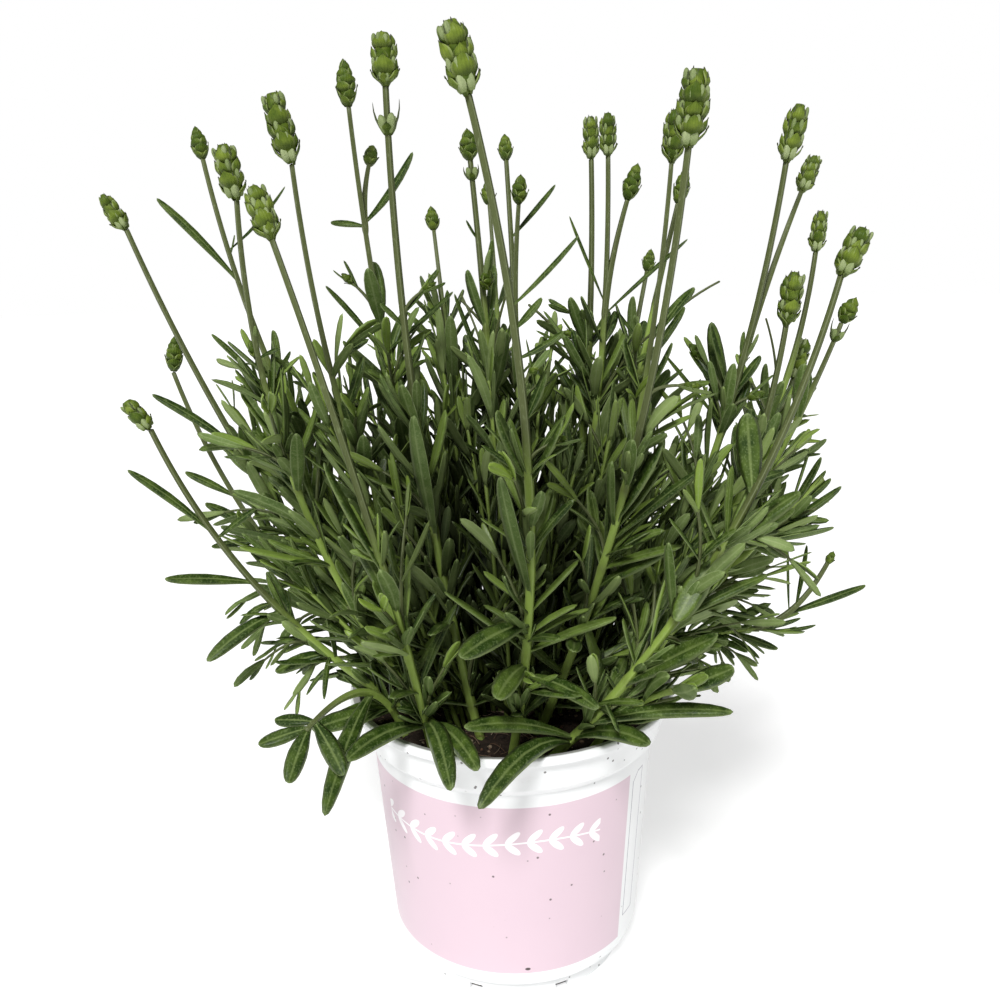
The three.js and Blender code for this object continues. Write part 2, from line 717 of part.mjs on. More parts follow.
// Stalks, stocks and heads first
let stemNumber = 0;
const growing = shoots.map((shoot, i) => {
  const name = `shoot_${twoDigits(i + 1)}`;
  const [x, y] = shoot.root;
  const parts = [prism(x, y, stockFoot, pegTop, stemSides, pegRadius)];
  const waiting = [];
  let parent;
  for (const row of shoot.stems) {
    stemNumber += 1;
    const stem = layStem(row, stemNumber, shoot, row.knee ? undefined : parent);
    if (row.knee) parent = stem;
    const stalk = buildStem(stem);
    parts.push(stalk);
    stand(stalk, stem);
    waiting.push(...listLeaves(stem, stemNumber).map((leaf) => ({ stem, leaf })));
    const { point, along, aside } = frameAt(stem, 1);
    if (stem.head) {
      const [number, length, width] = stem.head;
      const lean = along.clone().add(vec(stem.nod ?? [0, 0, 0])).normalize();
      const across = aside.clone().addScaledVector(lean, -aside.dot(lean)).normalize();
      const base = point.clone().addScaledVector(lean, fitGap + stemTopRadius * lean.distanceTo(along));
      const head = buildHead(base, lean, across, length, width);
      stand(head);
      lavender.add(toMesh(`spike_${twoDigits(number)}`, head, materials.head));
    }
    if (stem.whorl !== undefined) {
      const drop = (whorlDrop + stem.whorl) / stem.curve.getLength();
      const whorl = buildWhorl(stem, 1 - drop, stem.head[2] * whorlWidth);
      parts.push(whorl);
      stand(whorl);
    }
    if (stem.bud) {
      const base = point.clone().addScaledVector(along, -budSink);
      parts.push(buildHead(base, along, aside, stem.bud[0], stem.bud[1]));
    }
  }
  return { name, parts, waiting };
});

// Then the leaves, a pair at a time from each shoot in turn
const mostLeaves = Math.max(...growing.map(({ waiting }) => waiting.length));
for (let index = 0; index < mostLeaves; index++) {
  for (const { parts, waiting } of growing) {
    if (index >= waiting.length) continue;
    const { stem, leaf } = waiting[index];
    for (const giving of givings) {
      if (!leaf.tip && !inCrown(layLeaf(stem, leaf, giving).curve.getPoint(1))) continue;
      const blade = buildLeaf(stem, leaf, giving);
      if (isClear(blade, stem, leaf.pair)) {
        parts.push(blade);
        stand(blade, stem, leaf.pair);
        break;
      }
    }
  }
}

// Each shoot's stems and leaves are one body: hollows shut in by crossing leaves are filled
for (const { name, parts } of growing) {
  const bodies = Manifold.union(parts).decompose();
  bodies.sort((a, b) => b.volume() - a.volume());
  lavender.add(toMesh(name, bodies[0], materials.foliage));
}

export default lavender;
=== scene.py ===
import math

import bmesh
import bpy
import numpy as np
from mathutils import Matrix, Vector


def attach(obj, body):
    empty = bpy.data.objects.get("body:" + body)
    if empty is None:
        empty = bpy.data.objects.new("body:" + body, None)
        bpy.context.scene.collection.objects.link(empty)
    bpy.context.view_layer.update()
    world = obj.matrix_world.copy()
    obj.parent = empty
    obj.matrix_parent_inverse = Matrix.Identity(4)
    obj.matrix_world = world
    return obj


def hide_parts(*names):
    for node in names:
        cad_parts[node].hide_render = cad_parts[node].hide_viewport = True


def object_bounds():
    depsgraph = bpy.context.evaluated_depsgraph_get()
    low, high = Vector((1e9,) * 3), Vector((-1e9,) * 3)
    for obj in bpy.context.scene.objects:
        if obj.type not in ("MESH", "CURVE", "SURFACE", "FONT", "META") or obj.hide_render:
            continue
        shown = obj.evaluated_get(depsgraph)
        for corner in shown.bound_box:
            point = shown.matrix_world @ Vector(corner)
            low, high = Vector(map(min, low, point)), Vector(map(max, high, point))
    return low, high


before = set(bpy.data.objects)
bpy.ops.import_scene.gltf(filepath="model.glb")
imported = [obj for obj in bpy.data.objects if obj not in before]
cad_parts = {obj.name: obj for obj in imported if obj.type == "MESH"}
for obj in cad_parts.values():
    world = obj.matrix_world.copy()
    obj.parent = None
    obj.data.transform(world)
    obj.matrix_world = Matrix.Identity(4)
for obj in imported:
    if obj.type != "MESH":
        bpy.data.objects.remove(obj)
cad_low, cad_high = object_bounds()

MM = 0.001
UP = np.array([0.0, 0.0, 1.0])

# The photograph's camera
CAMERA_PLACE = (-2.58, -328.58, 256.95)
CAMERA_RIGHT = (0.99969721, -0.00601121, -0.02386112)
CAMERA_UP = (0.02460666, 0.24421808, 0.96940809)
CAMERA_FORWARD = (0.0, 0.9697017, -0.24429205)
CAMERA_LENS = 34.2  # on a sensor 36 mm wide

# The pot
POT_HEIGHT = 105
LIP_RADIUS = 60
LIP_DROP = 3.2
LIP_ROUND = 0.8
BAND_TOP_RADIUS = 57.4
BAND_FOOT_RADIUS = 55.2
BAND_FOOT = 91
STEP_FOOT = 88
WALL_TOP_RADIUS = 52.2
WALL_FOOT_RADIUS = 47
WALL_FOOT = 13
BEND_RADIUS = 45.6
BEND_HEIGHT = 9.4
FOOT_RADIUS = 40.6
FOOT_RISE = 7.5
WALL = 1.1
PAD_RADIUS = 35  # outer edge of the raised channel in the floor
DRAIN_RADIUS = 28.5  # its inner edge
CORNER_ROUND = 0.45  # how far a corner of the pot's profile is rounded
CHANNEL_RISE = 4
CHANNEL_SLOPE = 1.2
INNER_FOOT_RADIUS = 36.9
HOLES = 8
HOLE_RADIUS = 2
POT_SEGMENTS = 240
NOTCHES = 8
NOTCH_WIDTH = 5
NOTCH_HEIGHT = 3
NOTCH_RADIUS = 37.2  # where a notch ends inwards

# The pink panel and the framed strip beside it: bearings from the front in degrees, heights in millimetres
PANEL_LEFT = -84
PANEL_RIGHT = 51
PANEL_FOOT = 15.3
PANEL_TOP = 83
STRIP_LEFT = 53.8
STRIP_RIGHT = 62.2
STRIP_FOOT = 23
STRIP_TOP = 82
STRIP_LINE = 0.35
SPRIG_MIDDLE = -13  # bearing of the white sprig's middle
SPRIG_HEIGHT = 68
SPRIG_HALF_LENGTH = 42
SPRIG_LEAF_STEP = 7.4
SPRIG_LEAF_LENGTH = 6.6
SPRIG_LEAF_WIDTH = 1.25
SPRIG_LEAF_LEAN = 42  # degrees from the sprig's stem
SPRIG_WAVE = (1.6, 0.075)  # rise, and radians a millimetre
SPRIG_RADIUS = 50.5  # of the wall, where the sprig is
STRIP_RADIUS = 50
STRIP_CORNER = 3.2  # cut off its upper left corner
CRUMB_BEARING = 3.8  # of the dark crumb on the panel's foot
CRUMB_HEIGHT = 17.1

# The soil
SOIL_LEVEL = 95
SOIL_EDGE = 92.2
SOIL_GAP = 0.2  # from the pot's inside
SOIL_SHOULDER = (53.2, 90.6)  # where the soil's wall ends, just under the band
SOIL_RIM = (53.5, 53.3, 52.9, 52.3)  # the outermost rings of its top
SOIL_RINGS = 54
SOIL_SEGMENTS = 150
LUMP_RISE = 0.8
CROSSED_LUMPS = (0.9, 0.23, 0.19)  # rise, then radians a millimetre in X and in Y
SLANTED_LUMPS = (0.6, 0.41, -0.33)
GRAINS = ((5, 3, 1), (2, 4, 0.8), (1, 5, 0.45))  # size, seed and share of the rise
GRAIN_RISE = 0.55  # of the grains that the solids leave out
CRUMBS = 900
FIBRES = 260
SOIL_SEED = 7

# The plant
STEM_LEVEL = 97.5
STOCK_DEPTH = 7  # how far a stem runs on below the level where its curve starts
STEM_ROOT_RADIUS = 1.75
STEM_TOP_RADIUS = 1.1
STEM_STATIONS = 64
STEM_SIDES = 12
TWIG_THICK = 0.65  # a thinner stem is a twig, with fewer faces
TWIG_STATIONS = 14
TWIG_SIDES = 8
PAINTED_SHADE_REACH = 46  # for the painted shade deep in the plant: how far from the axis the plant's outer leaves begin, at the soil
PAINTED_SHADE_SPREAD = 0.5  # and how much further for each millimetre of height
BRANCH_LEAD = 0.45
BRANCH_THINNESS = 0.9
PAIR_SPACING = 25
FIRST_PAIR = 10
FIRST_BEARING = 45
MATCH = 0.2  # how near a leaf's worked-out tip lies to a corner of the solid
EDGE = 1.5  # depth of the zone inside the plant's box where points are held back

# Room that extra growth leaves to the sides of the box, the soil and the pot's rim
BOX_ROOM = 0.6
SOIL_ROOM = 1.8
RIM_ROOM = 1.4
MOUTH_RADIUS = 51  # of the pot's opening

# Outline of the leafy crown in the upright plane through the pot's axis, as X and Z, and its eye point
CROWN_EYE = (-3, -329, 257)
CROWN = np.array([
    (-97, 80), (-95, 103), (-101, 123), (-104, 143), (-107, 160), (-111, 177), (-109, 199), (-103, 216),
    (-99, 228), (-84, 229), (-72, 229), (-62, 229), (-54, 227), (-46, 243), (-33, 247), (-24, 245),
    (-14, 234), (0, 238), (12, 241), (24, 241), (36, 241), (48, 238), (56, 219), (66, 217), (78, 227),
    (88, 215), (100, 215), (110, 203), (116, 189), (119, 175), (117, 154), (118, 133), (110, 118),
    (87, 107), (71, 101), (61, 90), (56, 76),
], float)

# Leaves that the solids leave out, by the number of their stem: share where each leaves it, tip, width, arch
LOOSE_LEAVES = {
    1: [(0.74, (20, -68, 263), 2.4, -1), (0.67, (16, -66, 238), 3, -1), (0.71, (10, -67, 247), 3.4, 0),
        (0.58, (11, -63, 227), 4, 0)],
    4: [(0.75, (54, -53, 248), 2.6, 1)],
    5: [(0.67, (-38, -29, 245), 3, 1), (0.69, (-20, -29, 255), 2.6, -1)],
    7: [(0.7, (-91, -29, 237), 2.8, 2), (0.75, (-70, -30, 232), 2.6, 1)],
    8: [(0.57, (-125, 8, 214), 4.4, 3)],
    9: [(0.66, (-122, 25, 182), 4.2, 1), (0.55, (-115, 23, 170), 5, 2), (0.52, (-114, 22, 153), 4.5, 2),
        (0.22, (-97, 16, 110), 2.2, 7), (0.18, (-88, 16, 119), 2, 8)],
    10: [(0.68, (-87, -11, 176), 4, 1), (0.45, (-97, -9, 133), 4, 4), (0.25, (-86, -8, 114), 7, 3),
        (0.22, (-88, -7, 124), 2, 9), (0.27, (-76, -8, 129), 2, 4), (0.2, (-74, -14, 107), 2.2, 7),
        (0.21, (-80, -2, 110), 2.2, 6), (0.24, (-66, -22, 109), 2.2, 6)],
    11: [(0.822, (-58, 9, 271), 4, 1), (0.61, (-61, 8, 250), 3.2, 3), (0.62, (-17, 8, 247), 3.4, 0)],
    12: [(0.24, (-29, 9, 293), 5, -3)],
    13: [(0.58, (-17, 17, 246), 3, 2), (0.86, (-12, 19, 271), 1.8, 0), (0.68, (-3, 18, 240), 2.6, 0)],
    18: [(0.74, (25, 29, 272), 2.4, 0), (0.72, (68, 29, 263), 2.6, 1)],
    21: [(0.58, (64, 12, 218), 2.4, 0)],
    22: [(0.7, (43, 35, 238), 2.6, 0)],
    24: [(0.61, (69, -8, 235), 3.6, 0), (0.62, (86, -8, 224), 4.2, 1), (0.56, (54, -8, 225), 2.8, 1),
        (0.6, (62, -8, 226), 2.6, 0)],
    30: [(0.74, (121, 5, 175), 4, -2), (0.84, (113, 5, 186), 3.4, -1), (0.85, (117, 5, 178), 3.4, -1),
        (0.81, (115, 5, 181), 3, -1)],
    31: [(0.97, (118, 14, 118), 2.2, -3), (0.9, (112, 14, 121), 2.4, -2), (0.8, (102, 8, 111), 4.2, 1),
        (0.75, (94, 4, 109), 2.4, 3), (0.83, (98, 13, 124), 2.4, -2), (0.71, (92, 13, 118), 2.4, 3)],
    32: [(0.56, (113, 15, 150), 2.6, -2), (0.48, (106, 15, 149), 2.4, -2)],
    35: [(0.63, (-77, 18, 227), 3.4, 0), (0.85, (-75, 21, 284), 2.6, -3), (0.84, (-94, 20, 268), 2.2, 0)],
}
# Side buds: number of the stem, share where a short stalk leaves it, the bud's foot and its length
SIDE_BUDS = [
    (11, 0.66, (-52, 8, 251), 5), (5, 0.68, (-24, -29, 249), 4.5), (20, 0.67, (24, 41, 238), 5),
    (14, 0.62, (-25, 38, 218), 5.5), (17, 0.57, (-1, 53, 214), 5), (1, 0.51, (13, -61, 206), 5),
    (11, 0.54, (-40, 8, 219), 5.5), (11, 0.42, (-55, 8, 210), 5.5), (7, 0.65, (-74, -28, 217), 4.5),
    (1, 0.62, (7, -65, 227), 4.5), (7, 0.69, (-78, -29, 230), 5.5), (13, 0.75, (-6, 16, 248), 9),
    (20, 0.63, (27, 39, 228), 5), (35, 0.46, (-69, 19, 195), 4.5), (35, 0.38, (-68, 20, 175), 4.5),
    (24, 0.56, (66, -8, 224), 6.5), (24, 0.65, (80, -8, 222), 5.5), (4, 0.64, (53, -50, 220), 5),
    (24, 0.58, (83, -8, 210), 6),
]
# Leafy sprays: number of the stem, share where a side shoot leaves it, its top and the length of its leaves
SPRAYS = [
    (7, 0.55, (-78, -26, 215), 16), (7, 0.53, (-85, -25, 200), 16), (35, 0.52, (-79, 18, 209), 18),
    (8, 0.4, (-104, 8, 170), 16), (9, 0.32, (-96, 18, 121), 14), (10, 0.28, (-90, -8, 118), 14),
    (10, 0.22, (-78, -7, 106), 12), (9, 0.36, (-101, 19, 133), 14), (9, 0.26, (-92, 17, 112), 12),
    (30, 0.42, (98, 5, 145), 14), (30, 0.4, (91, 5, 130), 14), (30, 0.34, (88, 5, 116), 13),
    (26, 0.46, (88, -21, 163), 16), (31, 0.55, (87, 11, 108), 12), (3, 0.51, (86, -52, 166), 14),
    (31, 0.61, (82, 12, 104), 10), (3, 0.3, (59, -51, 133), 12), (18, 0.52, (25, 26, 224), 18),
    (4, 0.54, (46, -47, 209), 18), (24, 0.53, (72, -8, 209), 18), (14, 0.71, (-24, 42, 235), 18),
    (6, 0.65, (-52, -16, 230), 18),
]
LISTED_TURN = 30  # degrees by which a listed leaf's upper face is turned to the front

# Ways in which a leaf may give room to others: turned about its stem, opened from it, shortened
GIVINGS = [(0, 0, 1), (16, 0, 1), (-16, 0, 1), (0, -10, 0.94), (32, 8, 0.92), (-32, 8, 0.92), (0, 14, 0.8)]

# A leaf's measures, at the soil and at the knee unless named otherwise, and their scatter
LEAF_LENGTH = (34, 23, (0.8, 1.05))
LEAF_SWELL = 8  # added to a leaf's length halfway up
LEAF_WIDTH = (5, 7, 0.82)  # least, most, and its share at the knee
LEAF_ANGLE = (62, 24, (-9, 9))
LEAF_DROOP = (0.55, -0.1, (-0.2, 0.25))
LEAF_TWIST = (-24, 24)
BEARING_SCATTER = (-11, 11)
LEAF_THICKNESS = 0.45
LEAF_BREADTH = 1.12  # of the visual leaves against those of the solids
OUTLYING = (95, 195)  # a leaf whose tip is further from the axis, or higher, is darker

# Measures of small leaves that the solids leave out: scatter of the bearing, then angle, length, width and
# droop at the foot and at the top of what they grow on, each with its scatter. The two lengths of a midway
# leaf are those at either end and halfway.
MIDWAY_LEAF = ((-16, 16), (50, 21, (-9, 9)), (26, 30, (0.75, 1.1)), (5.4, 4.5, (0.8, 1.1)),
               (0.4, -0.1, (-0.3, 0.5)))
SHOOT_LEAF = ((-18, 18), (44, 11, (-8, 8)), (22, 15, (0.7, 1.25)), (4.3, 3.1, (0.75, 1.15)),
              (0, 0, (-0.3, 0.6)))
SMALL_TWIST = (-35, 35)
SMALL_SWEEP = (-38, 38)
SHOOT_PAIR_SPACING = 10.5
# Ranges of a tuft's leaves: share and bearing, added to those of its place, and angle, length, width, droop
TUFT = ((0, 0.03), (-50, 50), (9, 46), (10, 27), (2.2, 4.3), (-0.4, 0.7))
FILLER_TUFT = ((0, 0.06), (0, 360), (8, 40), (12, 29), (2, 3.9), (-0.3, 0.6))
TUFT_LEAVES = (2, 6)  # the fewest in the corner of a leaf, and one more than the most

# Where the sections of a large and of a small leaf lie on its length
LEAF_STATIONS = np.array([0.0, 0.07, 0.18, 0.34, 0.52, 0.7, 0.84, 0.93, 0.98])
SMALL_STATIONS = np.array([0.0, 0.2, 0.5, 0.78, 0.93])

# Flower heads, side buds and inner shoots
FEWEST_TIERS = 3
SLIM_HEAD = 6.9  # a narrower head is a slim closed bud
FULL_WIDTH = 9  # of the head whose lower ring is the largest
PLAIN_WHORL = 11  # the head whose lower ring has no long bracts
PLAIN_HEADS = (4, 8, 19, 26)  # full heads without large calyces at the foot
TIP_TIER = 0.6  # share of a tier's height that the tip takes
HEAD_GAP = 0.3  # between a stalk's end and its head's foot
WHORL_DROP = 4  # from a stalk's end to its lower ring, besides the number in its row
BUD_SINK = 1  # how far a bud's foot sits in the end of its branch
SIDE_BUD_SINK = 0.6
BUD_SEED = 77  # of the bud at the end of a low branch
SHOOT_SEED = 100  # of the first shoot, and one more for each after it
FILLER_SEED = 11
FILLERS = 100
FILL_TRIES = 30  # for each of them
FILL_FRONT = -32  # inner shoots stay behind this, so that the front stems stand free
FILL_RADIUS = 36  # within which they leave the soil
FILL_HEIGHT = (45, 138)
FILL_ROOM = 2.8  # between their axes and those of other stems
SIDE_SHOOT_ROOM = 2.6
SIDE_SHOOT_CHANCE = 0.7
BUD_SHARE = 0.6  # a side bud's width over its length
# First numbers of the stems that the solids leave out, from which each draws its cross directions
SIDE_SHOOT_NUMBER = 1000
LISTED_NUMBER = 3000
FILLER_NUMBER = 5000
# Thickness of these stems against that of a main one
SIDE_SHOOT_THICK = 0.52
LISTED_THICK = 0.5
FILLER_THICK = 0.62

# One row for each shoot: where it leaves the soil, then its stems. A stem is bare above its knee. A head is
# its number, length and width. A branch leaves the stem before it at the share "from" of that stem's curve.
# A nod is added to the stalk's direction to give its head's. A leaf that stands out is listed by the share
# where it leaves the stem, its tip, width and arch. Clad is the share of a stem's leafy part that has leaves.
# Thick is a stem's thickness against the usual one. A whorl is how far the lower ring sits below its head,
# besides WHORL_DROP. A bud at the end of a branch is its length and width.
SHOOTS = [
    {"root": (0, -38), "stems": [{"knee": (6, -60, 194), "top": (-8, -75, 297), "head": (9, 18, 9.6),
        "thick": 1.12, "leaves": [(0.17, (-5, -74, 133), 6.5, 4), (0.15, (25, -72, 128), 5, 5),
        (0.25, (-15, -78, 148), 7, 4), (0.3, (-2, -72, 199), 7, 0)]}]},
    {"root": (-28, -35), "stems": [{"knee": (-38, -58, 168), "top": (-64, -55, 264), "head": (4, 16, 8.6),
        "leaves": [(0.07, (-19, -80, 107), 6.5, 13), (0.06, (-51, -70, 112), 6.2, 8),
        (0.06, (-11, -76, 111), 6, 10), (0.42, (-52, -66, 203), 5.6, 0)]}]},
    {"root": (14, -43), "stems": [{"knee": (64, -52, 169), "top": (100, -40, 250), "head": (25, 16, 8.6),
        "nod": (0.18, 0, 0), "leaves": [(0.04, (-11, -84, 103), 6.2, 15), (0.05, (40, -74, 117), 6, 8),
        (0.09, (70, -50, 118), 5.4, 6), (0.2, (61, -66, 148), 8.5, 2), (0.05, (-15, -70, 122), 6, 7),
        (0.5, (54, -58, 193), 6.6, 0), (0.5, (87, -54, 188), 6.6, 3), (0.48, (49, -62, 151), 7.6, 3),
        (0.61, (72, -47, 211), 7, 0)]}]},
    {"root": (10, -24), "stems": [{"knee": (36, -45, 188), "top": (50, -60, 285), "head": (20, 20, 9.8),
        "thick": 1.12, "leaves": [(0.31, (49, -50, 170), 6, 2), (0.44, (46, -52, 204), 8, 0),
        (0.4, (59, -46, 194), 4.2, 2)]}]},
    {"root": (-12, -26), "stems": [{"knee": (-28, -28, 202), "top": (-33, -30, 307), "head": (8, 15, 9),
        "whorl": 7, "leaves": [(0.34, (-28, -42, 212), 7.2, 0)]}]},
    {"root": (-20, -8), "stems": [{"knee": (-54, -15, 207), "top": (-64, -20, 287), "head": (5, 21.5, 9.4),
        "nod": (-0.16, 0, 0)}]},
    {"root": (-30, -15), "stems": [{"knee": (-74.6, -28, 212), "top": (-78, -35, 276), "head": (3, 16, 8.8),
        "nod": (-0.2, 0, 0)}]},
    {"root": (-40, 12), "stems": [{"knee": (-95, 8, 192), "top": (-128, 10, 270), "head": (1, 14, 7),
        "nod": (-0.28, 0, 0), "clad": 0.9}, {"knee": (-101, 24, 167), "top": (-124, 30, 219),
        "head": (29, 13, 6.4), "nod": (0.42, 0, 0.1), "clad": 0.75}]},
    {"root": (-40, -6), "stems": [{"knee": (-105, -12, 173), "top": (-118.4, -15, 205), "head": (30, 12, 7),
        "nod": (-0.34, 0, 0), "clad": 0.5, "leaves": [(0.53, (-117, -22, 155), 4.8, 2),
        (0.42, (-103, -30, 128), 5.4, 5), (0.7, (-129, -12, 191), 3.6, 3)]}]},
    {"root": (-16, 6), "stems": [{"knee": (-42.6, 8, 236), "top": (-49, 5, 307), "head": (6, 14, 6.6)},
        {"from": 0.8, "top": (-45, 18, 290), "head": (7, 9, 5)}]},
    {"root": (-2, 8), "stems": [{"knee": (-6, 18, 233), "top": (-10, 20, 291), "head": (11, 10, 6.8),
        "whorl": 0.5}]},
    {"root": (-12, 24), "stems": [{"knee": (-22, 45, 231), "top": (-26, 60, 269), "head": (10, 10, 5.6)}]},
    {"root": (5, 22), "stems": [{"knee": (5, 38, 231), "top": (3, 55, 294), "head": (12, 10, 5.6),
        "leaves": [(0.85, (21, 44, 284), 3.4, 0)]}, {"from": 0.66, "top": (7, 38, 277),
        "head": (14, 10, 6)}]},
    {"root": (-4, 38), "stems": [{"knee": (-2, 62, 238), "top": (-4, 75, 279), "head": (13, 10, 5.8)}]},
    {"root": (16, 12), "stems": [{"knee": (37, 28, 226), "top": (39, 30, 292), "head": (16, 15, 7),
        "leaves": [(0.74, (26, 33, 273), 3.6, 0), (0.68, (24, 28, 262), 4, 0)]}, {"from": 0.7,
        "top": (46, 30, 277), "head": (17, 12.6, 6.4)}, {"knee": (33, 40, 223), "top": (35, 50, 293),
        "head": (15, 16, 7)}]},
    {"root": (22, -2), "stems": [{"knee": (49.4, 12, 207), "top": (59, 15, 288), "head": (19, 17.6, 8.6),
        "leaves": [(0.7, (69, 20, 246), 4, 2)]}]},
    {"root": (28, 24), "stems": [{"knee": (58, 38, 241), "top": (67, 45, 276), "head": (21, 13.6, 6)},
        {"knee": (54, 70, 220), "top": (62, 85, 251), "head": (18, 10, 5.4)}]},
    {"root": (34, -8), "stems": [{"knee": (74, -8, 199), "top": (91, -10, 285), "head": (22, 18, 8.4),
        "nod": (0.08, 0, 0), "leaves": [(0.58, (71, 0, 235), 5, 0)]}, {"from": 0.66, "top": (101, 5, 277),
        "head": (23, 14, 7)}]},
    {"root": (30, -24), "stems": [{"knee": (80, -22, 188), "top": (89, -25, 235), "head": (26, 17, 8.4)}]},
    {"root": (34, 20), "stems": [{"knee": (110, 38, 213), "top": (120, 45, 257), "head": (24, 16, 7)},
        {"knee": (104, 46, 180), "top": (116, 52, 208), "head": (28, 17, 7.4)}]},
    {"root": (42, 6), "stems": [{"knee": (108.5, 20, 197), "top": (122.6, 20, 232), "head": (27, 9.6, 6.8),
        "nod": (0.16, 0, 0), "whorl": 0.5}, {"knee": (92, 5, 155), "top": (114, 5, 178)},
        {"knee": (66, 11, 112), "top": (96, 14, 117)}, {"from": 0.93, "top": (122, 16, 143),
        "bud": (5, 3.4), "leaves": [(0.45, (143, 30, 128), 3.2, 0)]}]},
    {"root": (-39, -23), "stems": [{"knee": (-50, -40, 120), "top": (-64, -62, 118), "clad": 0.6,
        "leaves": [(0.98, (-78, -66, 116), 5, 1), (0.94, (-75, -56, 119), 4.6, 1),
        (0.98, (-67, -77, 109), 5.4, 2), (0.94, (-51, -75, 110), 5.6, 2),
        (0.42, (-56, -82, 101), 5.6, 8)]}]},
    {"root": (2, 44), "stems": [{"knee": (0, 76, 134), "top": (0, 98, 152)}]},
    {"root": (-26, 34), "stems": [{"knee": (-82.5, 18, 215), "top": (-104, 25, 294), "head": (2, 11, 6),
        "leaves": [(0.8, (-120, 20, 281), 4, 3)]}, {"knee": (-56, 60, 136), "top": (-78, 78, 156)}]},
    {"root": (22, 38), "stems": [{"knee": (50, 62, 136), "top": (70, 80, 156)}]},
    {"root": (29, -35), "stems": [{"knee": (42, -46, 117), "top": (50, -57, 126)}]},
]


# Shader maths, written as expressions
class Number:
    """One float socket of a node tree. Operators and the functions in OPERATIONS add Math nodes to it."""

    def __init__(self, finish, socket):
        self.finish, self.socket = finish, socket

    def math(self, operation, *others, clamp=False):
        settings = {"operation": operation, "use_clamp": clamp}
        return self.finish.node("ShaderNodeMath", settings, dict(enumerate([self, *others])))

    def __neg__(self):
        return self.math("MULTIPLY", -1)

    def __rsub__(self, other):
        return -self + other

    def __rtruediv__(self, other):
        return self.finish.number(other).math("DIVIDE", self)

    def clamped(self):
        """Held between 0 and 1."""
        return self.math("ADD", 0, clamp=True)

    def rise(self, low, high):
        """0 at low and 1 at high, smooth between them; high may lie below low."""
        share = ((self - low) / (high - low)).clamped()
        return share * share * (3 - 2 * share)


OPERATIONS = {
    "__add__": "ADD", "__radd__": "ADD", "__sub__": "SUBTRACT", "__mul__": "MULTIPLY", "__rmul__": "MULTIPLY",
    "__truediv__": "DIVIDE", "__pow__": "POWER", "least": "MINIMUM", "most": "MAXIMUM", "size": "ABSOLUTE",
    "sine": "SINE", "wrapped": "FRACT",
}
for name, operation in OPERATIONS.items():
    setattr(Number, name, lambda number, *others, operation=operation: number.math(operation, *others))


class Finish:
    """One material, whose node tree is written as expressions."""

    def __init__(self, name, roughness=0.5, **constants):
        self.material = bpy.data.materials.new(name)
        self.material.use_nodes = True
        self.tree = self.material.node_tree
        self.shader = self.tree.nodes["Principled BSDF"]
        self.shader.inputs["Roughness"].default_value = roughness
        for key, value in constants.items():
            self.shader.inputs[key.replace("_", " ")].default_value = value

    def node(self, kind, settings, sockets, output=0):
        """Any node: its settings first, then its sockets as values or links, and one of its outputs."""
        made = self.tree.nodes.new(kind)
        for key, value in settings.items():
            setattr(made, key, value)
        for key, value in sockets.items():
            if isinstance(value, Number):
                self.tree.links.new(value.socket, made.inputs[key])
            else:
                made.inputs[key].default_value = value
        return Number(self, made.outputs[output])

    def number(self, value):
        """A number as a node, for one on the left of a division."""
        made = self.tree.nodes.new("ShaderNodeValue")
        made.outputs[0].default_value = value
        return Number(self, made.outputs[0])

    def attribute(self, name):
        """A number that the mesh holds at each point."""
        return self.node("ShaderNodeAttribute", {"attribute_name": name}, {}, "Fac")

    def place(self):
        """Object coordinates in millimetres, as three numbers."""
        spot = self.node("ShaderNodeTexCoord", {}, {}, "Object")
        parts = [self.node("ShaderNodeSeparateXYZ", {}, {0: spot}, k) for k in range(3)]
        return [p / MM for p in parts]

    def noise(self, scale, detail=3, roughness=0.5, stretch=None):
        """Noise in object coordinates, with its scale per metre, stretched by a factor in each direction."""
        spot = self.node("ShaderNodeTexCoord", {}, {}, "Object")
        if stretch:
            spot = self.node("ShaderNodeVectorMath", {"operation": "MULTIPLY"}, {0: spot, 1: stretch})
        sockets = {"Vector": spot, "Scale": scale, "Detail": detail, "Roughness": roughness}
        return self.node("ShaderNodeTexNoise", {}, sockets)

    def mix(self, share, low, high):
        """Colour from low to high."""
        low, high = [(*c, 1.0) if isinstance(c, tuple) else c for c in (low, high)]
        settings = {"data_type": "RGBA", "clamp_factor": True}
        return self.node("ShaderNodeMix", settings, {0: share, 6: low, 7: high}, 2)

    def scaled(self, colour, factor):
        """Colour times a number."""
        return self.node("ShaderNodeVectorMath", {"operation": "SCALE"}, {0: colour, "Scale": factor})

    def set(self, name, value):
        """Links a number or colour to the shader's socket of that name."""
        self.tree.links.new(value.socket, self.shader.inputs[name])

    def bump(self, height, distance, strength=1.0):
        """Bump from a height of 0 to 1 that stands for the distance, in millimetres."""
        sockets = {"Height": height, "Distance": distance * MM, "Strength": strength}
        made = self.node("ShaderNodeBump", {}, sockets)
        self.tree.links.new(made.socket, self.shader.inputs["Normal"])


# Vectors and curves
def unit(v):
    """v with length 1 along its last axis."""
    return v / np.linalg.norm(v, axis=-1, keepdims=True)


def between(low, high, share):
    """low at share 0 and high at share 1, in proportion between them."""
    return low + (high - low) * share


def smooth(x):
    """0 below 0, 1 above 1, and between them the curve 3x^2 - 2x^3."""
    x = np.clip(x, 0, 1)
    return x * x * (3 - 2 * x)


def turned(v, axis, degrees):
    """v turned about the unit axis by Rodrigues' rule: v cos + (axis x v) sin + axis (axis . v)(1 - cos)."""
    c, s = math.cos(math.radians(degrees)), math.sin(math.radians(degrees))
    return v * c + np.cross(axis, v) * s + axis * np.dot(axis, v) * (1 - c)


def circle(count):
    """Bearings of evenly spaced points, in radians."""
    return np.arange(count) * 2 * np.pi / count


